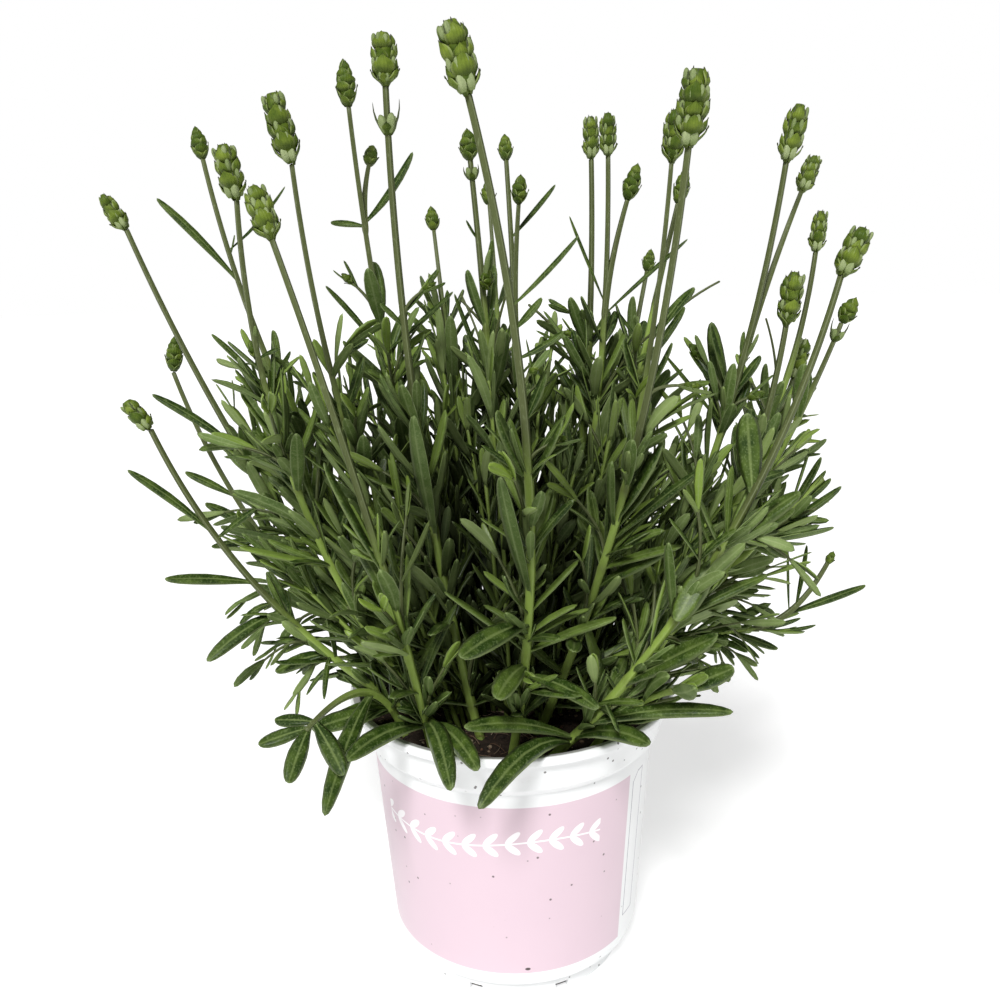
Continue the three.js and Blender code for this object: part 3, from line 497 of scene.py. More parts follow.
def polar(away, bearing, z):
    """Points from their distances from the axis, bearings and heights."""
    return np.stack(np.broadcast_arrays(away * np.cos(bearing), away * np.sin(bearing), z), axis=-1)


def draw(stem, leaf, use):
    """A fixed number from 0 to 1 for one leaf: the broken-off part of a large sine, as in the solids."""
    wide = math.sin(stem * 127.1 + leaf * 311.7 + use * 74.7) * 43758.5453
    return wide - math.floor(wide)


def bend(points, t):
    """Quadratic curve through three rows of control points: (1-t)^2 a + 2t(1-t) b + t^2 c."""
    a, b, c = points
    return (1 - t) ** 2 * a + 2 * t * (1 - t) * b + t ** 2 * c


def bend_along(points, t):
    """The curve's unit direction, (1-t)(b-a) + t(c-b) made 1 long."""
    a, b, c = points
    return unit((1 - t) * (b - a) + t * (c - b))


def painted_shade_in_plant(points):
    """Share of painted shade: 1 near the plant's axis, falling to 0 at its outer leaves, whose distance from
    the axis grows with height, and fading to 0 towards the top."""
    rise = points[:, 2] - SOIL_LEVEL
    away = np.hypot(points[:, 0], points[:, 1])
    share = away / (PAINTED_SHADE_REACH + PAINTED_SHADE_SPREAD * rise)
    return (1 - smooth((share - 0.2) / 0.8)) * (1 - smooth((rise - 60) / 90))


def held_in(points):
    """Points held inside the plant's box, whose foot they may touch. Nearer to a side than EDGE, a distance d
    becomes EDGE exp(d / EDGE - 1), which is never below 0."""
    low, high = np.array(cad_low) / MM, np.array(cad_high) / MM
    for axis, side in ((0, low[0]), (1, low[1]), (0, high[0]), (1, high[1]), (2, high[2])):
        sign = 1 if side == low[axis] else -1
        d = (points[:, axis] - side) * sign
        points[:, axis] = side + sign * np.where(d < EDGE, EDGE * np.exp(np.minimum(d, EDGE) / EDGE - 1), d)
    return points


# Meshes
class Heap:
    """Gathers grids of points and their faces, and makes one piece of them."""

    def __init__(self):
        self.points, self.faces, self.finishes, self.values, self.count = [], [], [], [], 0

    def add(self, points, faces, finish, along=0.0, across=0.0, tone=0.5):
        """Points (n, 3), faces as a list of (m, k) index arrays, and one finish or a list of arrays."""
        n = len(points)
        self.points.append(points)
        for rows in faces:
            self.faces.append(rows + self.count)
        numbers = finish if isinstance(finish, list) else [finish] * len(faces)
        self.finishes += [np.broadcast_to(f, len(rows)) for f, rows in zip(numbers, faces)]
        self.values.append(np.stack([np.broadcast_to(v, n) for v in (along, across, tone)]))
        self.count += n

    def piece(self, name, materials, slot, *nodes):
        """One mesh object, in metres, that rides on the plant's body and stands for the nodes."""
        mesh = bpy.data.meshes.new(name)
        points = held_in(np.concatenate(self.points)) * MM
        loops = np.concatenate([rows.ravel() for rows in self.faces])
        sizes = np.concatenate([np.full(len(rows), rows.shape[1]) for rows in self.faces])
        starts = np.concatenate([[0], np.cumsum(sizes)[:-1]])
        mesh.vertices.add(len(points))
        mesh.vertices.foreach_set("co", points.astype(np.float32).ravel())
        mesh.loops.add(len(loops))
        mesh.loops.foreach_set("vertex_index", loops.astype(np.int32))
        mesh.polygons.add(len(sizes))
        mesh.polygons.foreach_set("loop_start", starts.astype(np.int32))
        mesh.polygons.foreach_set("material_index", np.concatenate(self.finishes).astype(np.int32))
        mesh.update(calc_edges=True)
        # the depth attribute holds the share of painted shade deep in the plant
        rows = [*np.concatenate(self.values, axis=1), painted_shade_in_plant(points / MM)]
        for key, values in zip(("along", "across", "tone", "depth"), rows):
            layer = mesh.attributes.new(key, "FLOAT", "POINT")
            layer.data.foreach_set("value", values.astype(np.float32))
        mesh.shade_smooth()
        for material in materials:
            mesh.materials.append(material)
        made = bpy.data.objects.new(name, mesh)
        bpy.context.scene.collection.objects.link(made)
        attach(made, "root")
        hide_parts(*nodes)
        return made


def grid_faces(rows, columns):
    """Quads between rows of points, whose columns close on themselves."""
    r = np.arange(rows - 1)[:, None]
    c = np.arange(columns)[None, :]
    a = r * columns + c
    b = r * columns + (c + 1) % columns
    return np.stack([a, b, b + columns, a + columns], axis=-1).reshape(-1, 4)


def many(faces, copies, size):
    """The same faces for each of several copies that hold size points each."""
    return (faces[None] + (np.arange(copies) * size)[:, None, None]).reshape(-1, faces.shape[1])


def closed_tubes(points, heads, tails):
    """Tubes (copies, rows, columns, 3) closed at both ends by a fan to a point, with their faces outwards."""
    copies, rows, columns, _ = points.shape
    size = rows * columns + 2
    body = np.concatenate([points.reshape(copies, rows * columns, 3), heads[:, None], tails[:, None]], axis=1)
    c = np.arange(columns)
    foot = np.stack([np.full(columns, size - 2), (c + 1) % columns, c], axis=1)
    last = (rows - 1) * columns
    top = np.stack([np.full(columns, size - 1), last + c, last + (c + 1) % columns], axis=1)
    faces = [many(grid_faces(rows, columns), copies, size), many(np.concatenate([foot, top]), copies, size)]
    return body.reshape(-1, 3), faces, size


# Stems and leaves, worked out as in the solids
class Stem:
    """One stem's curve and cross directions, worked out as in the solids."""

    def __init__(self, row, number, root, parent):
        self.row, self.number = row, number
        top = np.array(row["top"], float)
        self.branch = "knee" not in row
        if self.branch:
            start = bend(parent.control, row["from"])
            ahead = bend_along(parent.control, row["from"])
            middle = start + ahead * BRANCH_LEAD * np.linalg.norm(top - start)
            self.leafy = 0.0
        else:
            start = np.array([*root, STEM_LEVEL][:3], float)
            knee = np.array(row["knee"], float)
            low, high = np.linalg.norm(knee - start), np.linalg.norm(top - knee)
            share = low / (low + high)
            middle = (knee - (1 - share) ** 2 * start - share ** 2 * top) / (2 * share * (1 - share))
            self.leafy = share if "head" in row or "bud" in row else 1.0
        self.leafy *= row.get("clad", 1)
        self.control = (start, middle, top)
        lean = unit(top - start)
        self.level = turned(unit(np.cross(UP, lean)), lean, 90 * draw(number, 0, 1))
        marks = bend(self.control, np.linspace(0, 1, 201)[:, None])
        self.length = float(np.linalg.norm(np.diff(marks, axis=0), axis=1).sum())
        self.thick = row.get("thick", 1) * (BRANCH_THINNESS if self.branch else 1)

    def frame(self, t):
        """Point, direction, and the two cross directions at the shares t of the curve."""
        t = np.asarray(t, float)[..., None]
        along = bend_along(self.control, t)
        aside = unit(self.level - (along @ self.level)[..., None] * along)
        return bend(self.control, t), along, aside, np.cross(along, aside)

    def radius(self, t):
        """Half the stem's diagonal, thinner towards the top."""
        return between(STEM_ROOT_RADIUS, STEM_TOP_RADIUS, t) * self.thick

    def pairs(self):
        """Shares of the curve where the solids' pairs of leaves leave it."""
        leafy = self.length * self.leafy
        count = int(math.floor((leafy - FIRST_PAIR) / PAIR_SPACING) + 1)
        return [between(FIRST_PAIR, leafy, k / (count - 1) if count > 1 else 0) / leafy for k in range(count)]


def lay_leaf(stem, leaf, turn=0, open_by=0, reach=1):
    """A leaf's three control points and its width's direction. It leaves the stem at an angle from it, then
    bends towards the ground by its droop."""
    point, along, aside, away = stem.frame(leaf["share"])
    bearing, angle = math.radians(leaf["bearing"] + turn), math.radians(leaf["angle"] + open_by)
    out = aside * math.cos(bearing) + away * math.sin(bearing)
    first = along * math.cos(angle) + out * math.sin(angle)
    last = unit(first - UP * leaf["droop"])
    length = leaf["length"] * reach
    middle = point + first * length * 0.5
    across = np.cross(along, out)
    twist = math.radians(leaf["twist"])
    across = across * math.cos(twist) + np.cross(first, across) * math.sin(twist)
    return (point, middle, middle + last * length * 0.5), across


def aim_leaf(stem, leaf, turn=0, open_by=0, reach=1):
    """The same for a listed leaf, whose tip is given: it rises by its arch before it comes down."""
    point = stem.frame(leaf["share"])[0]
    away = turned((leaf["tip"] - point) * reach, UP, turn / 2)
    return (point, point + away * 0.5 + UP * leaf["arch"], point + away), unit(np.cross(UP, away))


def solid_leaves(stem):
    """The leaves that the solids may hold on one stem: those listed, then crossed pairs up to the knee."""
    leaves = [
        {"share": share, "tip": np.array(tip, float), "width": width, "arch": arch}
        for share, tip, width, arch in stem.row.get("leaves", [])
    ]
    for pair, rise in enumerate(stem.pairs() if stem.leafy else []):
        for side in range(2):
            u = [draw(stem.number, pair * 2 + side, use) for use in range(8)]
            length = between(LEAF_LENGTH[0], LEAF_LENGTH[1], rise) + LEAF_SWELL * math.sin(math.pi * rise)
            leaves.append({
                "share": rise * stem.leafy,
                "bearing": FIRST_BEARING + 90 * pair + 180 * side + between(*BEARING_SCATTER, u[2]),
                "angle": between(LEAF_ANGLE[0], LEAF_ANGLE[1], rise) + between(*LEAF_ANGLE[2], u[3]),
                "length": length * between(*LEAF_LENGTH[2], u[4]),
                "width": between(LEAF_WIDTH[0], LEAF_WIDTH[1], u[5]) * between(1, LEAF_WIDTH[2], rise),
                "droop": between(LEAF_DROOP[0], LEAF_DROOP[1], rise) + between(*LEAF_DROOP[2], u[6]),
                "twist": between(*LEAF_TWIST, u[7]),
            })
    return leaves


def as_in_solid(stem, leaf, corners):
    """The leaf as it lies in the solid, found by its tip among the solid's corners, or None if it is
    missing."""
    lay = aim_leaf if "tip" in leaf else lay_leaf
    for turn, open_by, reach in GIVINGS:
        control, across = lay(stem, leaf, turn, open_by, reach)
        if np.linalg.norm(corners - control[2], axis=1).min() < MATCH:
            return control, to_front(control, across) if "tip" in leaf else across
    return None


def to_front(control, across):
    """The width's direction of a listed leaf, turned about the leaf so that its upper face looks more to the
    front."""
    away = unit(control[2] - control[0])
    both = [turned(across, away, side * LISTED_TURN) for side in (-1, 1)]
    return min(both, key=lambda v: np.cross(away, v)[1])


# Where each finish stands in its piece's list. A shoot's list has the head's finishes after its own three.
UPPER, UNDER, STALK = 0, 1, 2
BRACT, CALYX, TOOTH = 0, 1, 2
AFTER_LEAVES = 3

# One section of a leaf: place across in half widths, height in thicknesses, and fold in half widths
LEAF_PLACE = np.array([1.0, 0.55, 0.0, -0.55, -1.0, -0.62, 0.0, 0.62])
LEAF_RISE = np.array([-0.15, 0.5, -0.1, 0.5, -0.15, -0.5, -1.15, -0.5])
LEAF_ROLL = np.array([-0.16, 0.02, -0.1, 0.02, -0.16, 0.0, -0.12, 0.0])


def blades(control, across, width, stations, tone):
    """Leaf blades, all at once, each along its quadratic curve. A section has five points on the upper face,
    with a groove along the midrib and rims that roll under, and three below with a ridge. The width is 0.34
    at the foot, swells as a sine power to 1 at 0.55, and closes in a blunt round tip."""
    count, t = len(control), stations
    curve = control.transpose(1, 0, 2)[:, :, None]
    points, along = bend(curve, t[:, None]), bend_along(curve, t[:, None])
    side = unit(across[:, None] - (across[:, None] * along).sum(-1, keepdims=True) * along)
    face = np.cross(along, side)
    shape = np.where(t < 0.55, 0.34 + 0.66 * np.sin(np.pi / 2 * t / 0.55) ** 1.3,
                     np.sqrt(np.clip(1 - ((t - 0.55) / 0.45) ** 2.6, 0.0, 1)))
    half = (width[:, None] * 0.5 * shape)[..., None]
    thick = LEAF_THICKNESS * np.clip(width / 4.5, 0.5, 1.15)[:, None] * (0.55 + 0.45 * shape)
    lift = LEAF_RISE * thick[..., None] + LEAF_ROLL * half * 1.6
    grid = points[:, :, None] + side[:, :, None] * (LEAF_PLACE * half)[..., None]
    grid = grid + face[:, :, None] * lift[..., None]
    body, faces, size = closed_tubes(grid, control[:, 0], control[:, 2])
    section = [UPPER] * 4 + [UNDER] * 4
    finishes = [np.tile(section, count * (len(t) - 1)), np.tile(section, count * 2)]
    along_values = np.concatenate([np.repeat(t, len(section)), [0, 1]])
    across_values = np.concatenate([np.tile(LEAF_PLACE, len(t)), [0, 0]])
    return (body, faces, finishes, np.tile(along_values, count), np.tile(across_values, count),
            np.repeat(tone, size))


def stem_tube(stem, swellings):
    """A square stem with rounded corners: radius R (0.82 + 0.13 cos 4a), slimmer above its leaves, a little
    thicker at each pair of leaves by a bell curve, and carried on straight below the place where its curve
    starts. A branch is thin at its foot."""
    twig = stem.thick < TWIG_THICK
    sides = TWIG_SIDES if twig else STEM_SIDES
    t = np.linspace(0, 1, TWIG_STATIONS if twig else STEM_STATIONS)
    points, along, aside, away = stem.frame(t)
    radius = stem.radius(t) * (1.02 - (0 if stem.branch else 0.1) * smooth((t - stem.leafy) / 0.2))
    if stem.branch:
        radius = radius * (0.5 + 0.5 * smooth(t * stem.length / 5))
    for share in swellings:
        radius = radius * (1 + 0.2 * np.exp(-((t - share) * stem.length / 1.6) ** 2))
    a = circle(sides)
    ring = radius[:, None] * (0.82 + 0.13 * np.cos(4 * a))[None]
    grid = (points[:, None] + aside[:, None] * (ring * np.cos(a))[..., None]
            + away[:, None] * (ring * np.sin(a))[..., None])
    deep = 1.0 if stem.branch else STOCK_DEPTH
    low = [grid[0] - along[0] * d for d in ([deep] if stem.branch else [deep, 3.0])]
    ends = points[0] - along[0] * deep, points[-1] + along[-1] * 0.4
    body, faces, _ = closed_tubes(np.concatenate([low, grid])[None], ends[0][None], ends[1][None])
    shares = np.concatenate([np.zeros(len(low)), t])
    stalk = np.clip((shares - stem.leafy) * stem.length / 25 + (0.9 if stem.branch else 0.35), 0, 1)
    node = np.zeros_like(shares)
    for share in swellings:
        node = np.maximum(node, np.exp(-((shares - share) * stem.length / 0.9) ** 2))
    return (body, faces, STALK, np.concatenate([np.repeat(node, sides), [0, 0]]),
            np.concatenate([np.tile(np.cos(4 * a), len(shares)), [0, 0]]),
            np.concatenate([np.repeat(stalk, sides), [stalk[0], stalk[-1]]]))


# Room for what the solids leave out
class Crowd:
    """Remembers sample points of stems, so that small extra leaves keep clear of other stems."""

    def __init__(self):
        self.points, self.owners = np.zeros((0, 3)), np.zeros(0, int)

    def add(self, points, owner):
        self.points = np.concatenate([self.points, points])
        self.owners = np.concatenate([self.owners, np.full(len(points), owner)])

    def clear(self, marks, owner, room):
        """Whether all the marks lie further than room from the stems of others."""
        others = self.points[self.owners != owner]
        return not len(others) or np.linalg.norm(marks[:, None] - others[None], axis=2).min() > room


def in_crown(points):
    """Whether all points lie inside the crown's outline, seen from its eye: a ray from each to the right
    crosses it an odd number of times."""
    eye = np.array(CROWN_EYE, float)
    nearer = -eye[1] / (points[:, 1] - eye[1])
    x = eye[0] + (points[:, 0] - eye[0]) * nearer
    z = eye[2] + (points[:, 2] - eye[2]) * nearer
    (ax, az), (bx, bz) = CROWN.T, np.roll(CROWN, -1, axis=0).T
    spans = (az > z[:, None]) != (bz > z[:, None])
    slope = (bx - ax) / np.where(bz == az, 1, bz - az)
    crossed = spans & (x[:, None] < ax + slope * (z[:, None] - az))
    return bool((crossed.sum(axis=1) % 2 == 1).all())


def inside_bounds(points):
    """Whether points stay inside the plant's box, above the soil, and out of the pot's wall and lip."""
    low, high = np.array(cad_low) / MM + BOX_ROOM, np.array(cad_high) / MM - BOX_ROOM
    away = np.hypot(points[:, 0], points[:, 1])
    over_rim = points[:, 2] > POT_HEIGHT + RIM_ROOM
    dry = np.where(away < MOUTH_RADIUS, points[:, 2] > SOIL_LEVEL + SOIL_ROOM, over_rim)
    off_rim = (away < MOUTH_RADIUS - 0.5) | over_rim
    return bool(((points > low) & (points < high)).all() and dry.all() and off_rim.all())


def free_leaf(stem, share, bearing, angle, length, droop, twist, sweep):
    """Control points and width's direction of a small extra leaf, laid like those of the solids, with its
    outer half swept sideways."""
    leaf = {"share": share, "bearing": bearing, "angle": angle, "length": length}
    leaf |= {"droop": droop, "twist": twist}
    (start, middle, tip), across = lay_leaf(stem, leaf)
    return np.stack([start, middle, middle + turned(tip - middle, UP, sweep)]), across


# Flower heads: places across a bract, and where the rings of a bract, awl and calyx lie on its length
WIDE = np.linspace(-1, 1, 7)
BRACT_STATIONS = np.array([0.0, 0.1, 0.22, 0.36, 0.52, 0.68, 0.82, 0.92, 0.985])
AWL_STATIONS = np.array([0.0, 0.2, 0.45, 0.7, 0.93])
# For a calyx in bud, each with the share of its radius
BUD_SHAPE = np.array([(0, 0.5), (0.14, 0.82), (0.36, 1), (0.6, 0.97), (0.8, 0.78), (0.92, 0.5), (0.98, 0.26)])


def swung(ring, bearing):
    """Points given as outwards, sideways and up, swung about the head's axis to their bearing."""
    c, s = np.cos(bearing), np.sin(bearing)
    x, y = ring[..., 0], ring[..., 1]
    return np.stack([x * c - y * s, x * s + y * c, ring[..., 2]], axis=-1)


def bracts(table, outline):
    """Cupped bracts. Each row of the table gives height, bearing, how closely it hugs the head's outline, how
    far its tip stands off, length, width, belly and tone. The outer layer comes out from inside the head to
    its outline, swells by its belly, is broad at half its height and ends in a short point. Its rims fall
    back to the head, and an inner layer a little further in closes it."""
    z, bearing, hug, flare, length, width, belly, _ = [column[:, None, None] for column in table.T]
    t, u = BRACT_STATIONS[None, :, None], WIDE[None, None, :]
    shape = np.where(t < 0.45, 0.6 + 0.4 * np.sin(np.pi / 2 * t / 0.45),
                     np.clip(1 - ((t - 0.45) / 0.55) ** 1.9, 0.06, 1))
    reach = outline(z + length * t) * hug * (0.8 + 0.22 * smooth(t / 0.5)) + flare * t ** 4
    half = width * 0.5 * shape
    bent = reach + belly * np.sin(np.pi * t ** 0.8) * (1 - u * u) - 0.42 * u * u * half
    bent = bent + 0.07 * np.exp(-(u / 0.16) ** 2) * (1 - t)
    high = z + length * t * (1 - 0.12 * np.abs(u) ** 1.5)
    outer = np.stack([bent, u * half, high], axis=-1)
    inner = np.stack([bent - 0.28 * (1 - 0.55 * np.abs(u)), u * half * 0.96, high + 0.01], axis=-1)
    grid = swung(np.concatenate([outer, inner[:, :, ::-1]], axis=2), bearing)
    body, faces, size = closed_tubes(grid, grid[:, 0].mean(axis=1), grid[:, -1].mean(axis=1))
    across = np.tile(np.concatenate([WIDE, WIDE[::-1]]), len(BRACT_STATIONS))
    along, across = places_on_part(BRACT_STATIONS, across, len(table))
    return body, faces, BRACT, along, across, np.repeat(table[:, 7], size)


def places_on_part(stations, across, copies):
    """Each point's place along a part and across it, with the two end points last, for all copies."""
    along = np.repeat(stations, len(across) // len(stations))
    return np.tile([*along, 0, 1], copies), np.tile([*across, 0, 0], copies)


def leaning(table, x, y, up, bow=0.0):
    """Closed tubes that lean outwards, from x, y and up in each one's own frame. Rows of the table begin with
    height, bearing, distance from the axis, lean and length."""
    z, bearing, away, lean, length = [column[:, None, None] for column in table.T[:5]]
    c, s = np.cos(lean), np.sin(lean)
    grid = swung(np.stack([away + x * c + up * s + bow, y + 0 * up, z + up * c - x * s], axis=-1), bearing)
    foot = swung(np.stack([away, 0 * away, z], axis=-1), bearing)[:, 0, 0]
    tip = swung(np.stack([away + length * s, 0 * away, z + length * c], axis=-1), bearing)[:, 0, 0]
    return closed_tubes(grid, foot, tip)


def calyces(table, sides=10):
    """Ribbed egg-shaped buds. Each row of the table gives height, bearing, distance from the axis, lean,
    length, radius and tone. A ring's radius swings by 6 in 100 from rib to rib."""
    length, radius = table[:, 4, None, None], table[:, 5, None, None]
    t, share = BUD_SHAPE[None, :, 0, None], BUD_SHAPE[None, :, 1, None]
    rib = np.cos(np.arange(sides) * np.pi)
    ring, a = radius * share * (1 + 0.06 * rib), circle(sides)
    body, faces, size = leaning(table, ring * np.cos(a), ring * np.sin(a), length * t)
    along, across = places_on_part(BUD_SHAPE[:, 0], np.tile(rib, len(BUD_SHAPE)), len(table))
    return body, faces, CALYX, along, across, np.repeat(table[:, 6], size)


def awls(table, sides=6):
    """Thin dark pointed bracts. Each row gives height, bearing, distance from the axis, lean, length, radius,
    and how far its middle bows outwards."""
    length, radius, bow = [column[:, None, None] for column in table.T[4:]]
    t = AWL_STATIONS[None, :, None]
    ring, a = radius * (1 - t ** 1.3 * 0.88), circle(sides)
    x, y = ring * np.cos(a) * 0.55, ring * np.sin(a)
    body, faces, _ = leaning(table, x, y, length * t, bow * np.sin(np.pi * t))
    along, across = places_on_part(AWL_STATIONS, np.zeros(len(AWL_STATIONS) * sides), len(table))
    return body, faces, TOOTH, along, across, 0.5


def core(length, radii, sides=16):
    """The head's inner body: rings of the given radii, evenly spaced along its length."""
    grid = polar(radii[:, None], circle(sides), np.linspace(0, length, len(radii))[:, None])[None]
    body, faces, _ = closed_tubes(grid, np.zeros((1, 3)), np.array([[0, 0, length + 0.1]]))
    return body, faces, BRACT, 0.4, 0.0, 0.25


def head_outline(length, width):
    """Radius of a flower head at a height. A full head is nearly a cylinder, drawn in at foot and top. A slim
    one is an egg: below 0.42 of its length a quarter of an ellipse, above that 1 - share^2.1."""
    if width < SLIM_HEAD:
        def outline(z):
            share = np.clip(z / length, 0, 1.02)
            low = np.sqrt(np.clip(1 - ((0.42 - share) / 0.46) ** 2, 0, 1))
            high = 1 - np.clip((share - 0.42) / 0.61, 0, 1) ** 2.1
            return width * 0.43 * np.where(share < 0.42, low, high)
    else:
        def outline(z):
            share = np.clip(z / length, 0, 1.02)
            foot = 0.4 + 0.6 * smooth(share / 0.2)
            top = 1 - 0.55 * smooth((share - 0.78) / 0.26)
            return width * 0.38 * (1 - 0.6 * (share - 0.36) ** 2) * foot * top
    return outline


def head_parts(length, width, seed):
    """The parts of one flower head about its own axis: a green body, and on it tiers of bracts, each tier
    turned by a quarter or a sixth against the last and overlapping the next. On a full head two broad bracts
    of a tier face two narrow ones, with woolly calyces and thin dark points between them, and larger calyces
    at the foot of some. A slim head is a closed bud of three bracts to a tier. Points stand on top of all."""
    r = np.random.default_rng(seed)
    slim = width < SLIM_HEAD
    tiers = max(FEWEST_TIERS, round(length / (2.3 if slim else 4)))
    tier = length / (tiers + TIP_TIER)
    around = 3 if slim else 4
    outline = head_outline(length, width)
    leaves, buds, spikes = [], [], []
    showy = not slim and seed not in PLAIN_HEADS
    facing = r.uniform(-0.22, 0.22)
    for i in range(tiers):
        low = outline(tier * (i + 0.5))
        step = math.pi / around if slim else math.pi / 2
        bare = showy and i == 0
        for k in range(0, around, 2 if bare else 1):
            broad = slim or k % 2 == 0
            grow = r.uniform(0.88, 1.12)
            turn = 2 * math.pi / around * k + step * (i % 2) + facing + r.uniform(-0.14, 0.14)
            long = tier * (1.75 if slim else 1.5 if broad else 1.2) * grow
            point = r.uniform(0.0, 0.2) if slim else r.uniform(0.2, 0.8)
            leaves.append([tier * (i - 0.1 + r.uniform(-0.08, 0.08)), turn, 1.02 if broad else 0.97,
                           point * (0.4 if i == tiers - 1 else 1), long,
                           low * (2.0 if slim else 1.75 if broad else 1.25) * grow,
                           low * (0.06 if slim else 0.15), r.uniform(-0.3, 0.5) if slim else r.uniform(0, 1)])
        for k in range(0 if slim else 4):
            spikes.append([tier * (i + 0.4), math.pi / 2 * (k + 0.5) + facing + r.uniform(-0.2, 0.2),
                           low * 0.93, r.uniform(0.05, 0.3), tier * r.uniform(0.55, 0.8), 0.5, 0.1])
        for k in range(0 if slim else 8):
            apart = (0.17 if k % 2 == 0 else -0.17) if bare else r.uniform(-0.1, 0.1)
            turn = math.pi / 4 * (k + 0.5) + step * (i % 2) + facing + apart
            if k % 4 in (0, 3) if bare else r.random() < 0.45:
                continue
            buds.append([tier * (0.12 if bare else i + r.uniform(0.25, 0.5)), turn,
                         low * (0.76 if bare else 0.88), r.uniform(0.02, 0.14),
                         tier * (1.25 if bare else r.uniform(0.75, 0.95)),
                         width * (0.135 if bare else 0.085), r.uniform(0.4, 1.1) + (0.5 if bare else 0)])
    for k in range(2):
        leaves.append([0.0, math.pi * k + r.uniform(-0.3, 0.3), 1.12, r.uniform(0.3, 0.7),
                       length * (0.5 if slim else 0.3) * r.uniform(0.9, 1.1), width * (0.4 if slim else 0.3),
                       0.0, -0.7])
    points = 3 if slim else 5
    for k in range(points):
        spikes.append([tier * (tiers - 0.5), math.pi * 2 / points * k + r.uniform(-0.4, 0.4),
                       outline(length * 0.93) * 0.7, 0.08, tier * r.uniform(0.75, 1.05),
                       0.4 if slim else 0.7, 0.15])
    if slim:
        spikes.append([length * 0.86, 0, 0.0, 0.03, length * 0.15, 0.42, 0.0])
    radii = outline(np.linspace(0, length * 0.95, 16)) * 0.84
    parts = [core(length * 0.95, radii), bracts(np.array(leaves), outline), awls(np.array(spikes))]
    return parts + ([calyces(np.array(buds))] if buds else [])


def whorl_parts(stem_radius, size, seed):
    """A detached lower ring: calyces in bud that splay from the stalk, a cup of green bracts under them, and
    two thin dark bracts that stand higher. On the plain ring these stay low."""
    r = np.random.default_rng(seed)
    tall = 5 if seed == PLAIN_WHORL else size * 10
    buds = [[-1.7, math.pi / 2 * (k + 0.5 + 0.1 * r.uniform(-1, 1)), stem_radius * 0.8, r.uniform(0.26, 0.36),
             size * r.uniform(5.0, 5.8), size * 1.35, r.uniform(0.7, 1.2) * size ** 2] for k in range(4)]
    thin = [[-1.8, math.pi * k + r.uniform(-0.3, 0.3), stem_radius * 0.9, r.uniform(0.24, 0.34),
             tall * r.uniform(0.9, 1.05), 0.85, size * 0.9] for k in range(2)]
    cup = [[-2.3, math.pi * (k + 0.5), 1.0, 0.6, size * 3.6, size * 3.8, 0.3, 0.0] for k in range(2)]

    def outline(z):
        return stem_radius + 0.3 + smooth((z + 2.3) / 4) * 1.7 * size

    return [calyces(np.array(buds)), awls(np.array(thin)), bracts(np.array(cup), outline)]


def stand(parts, heap, foot, along, aside, away, finish_shift=0):
    """Adds parts made about their own axis, standing at foot, to a heap."""
    for points, faces, finish, along_values, across_values, tones in parts:
        placed = foot + points[:, :1] * aside + points[:, 1:2] * away + points[:, 2:] * along
        heap.add(placed, faces, finish + finish_shift, along_values, across_values, tones)


# Pot and soil
def rounded(profile, radius, steps=5):
    """The profile with each inner corner replaced by a quadratic curve that starts and ends radius away."""
    p = np.array(profile, float)
    out = [p[0]]
    for before, corner, after in zip(p[:-2], p[1:-1], p[2:]):
        a, b = before - corner, after - corner
        reach = min(radius, np.linalg.norm(a) * 0.45, np.linalg.norm(b) * 0.45)
        ends = corner + unit(a) * reach, corner, corner + unit(b) * reach
        out += list(bend(ends, np.linspace(0, 1, steps)[:, None]))
    return np.array(out + [p[-1]])


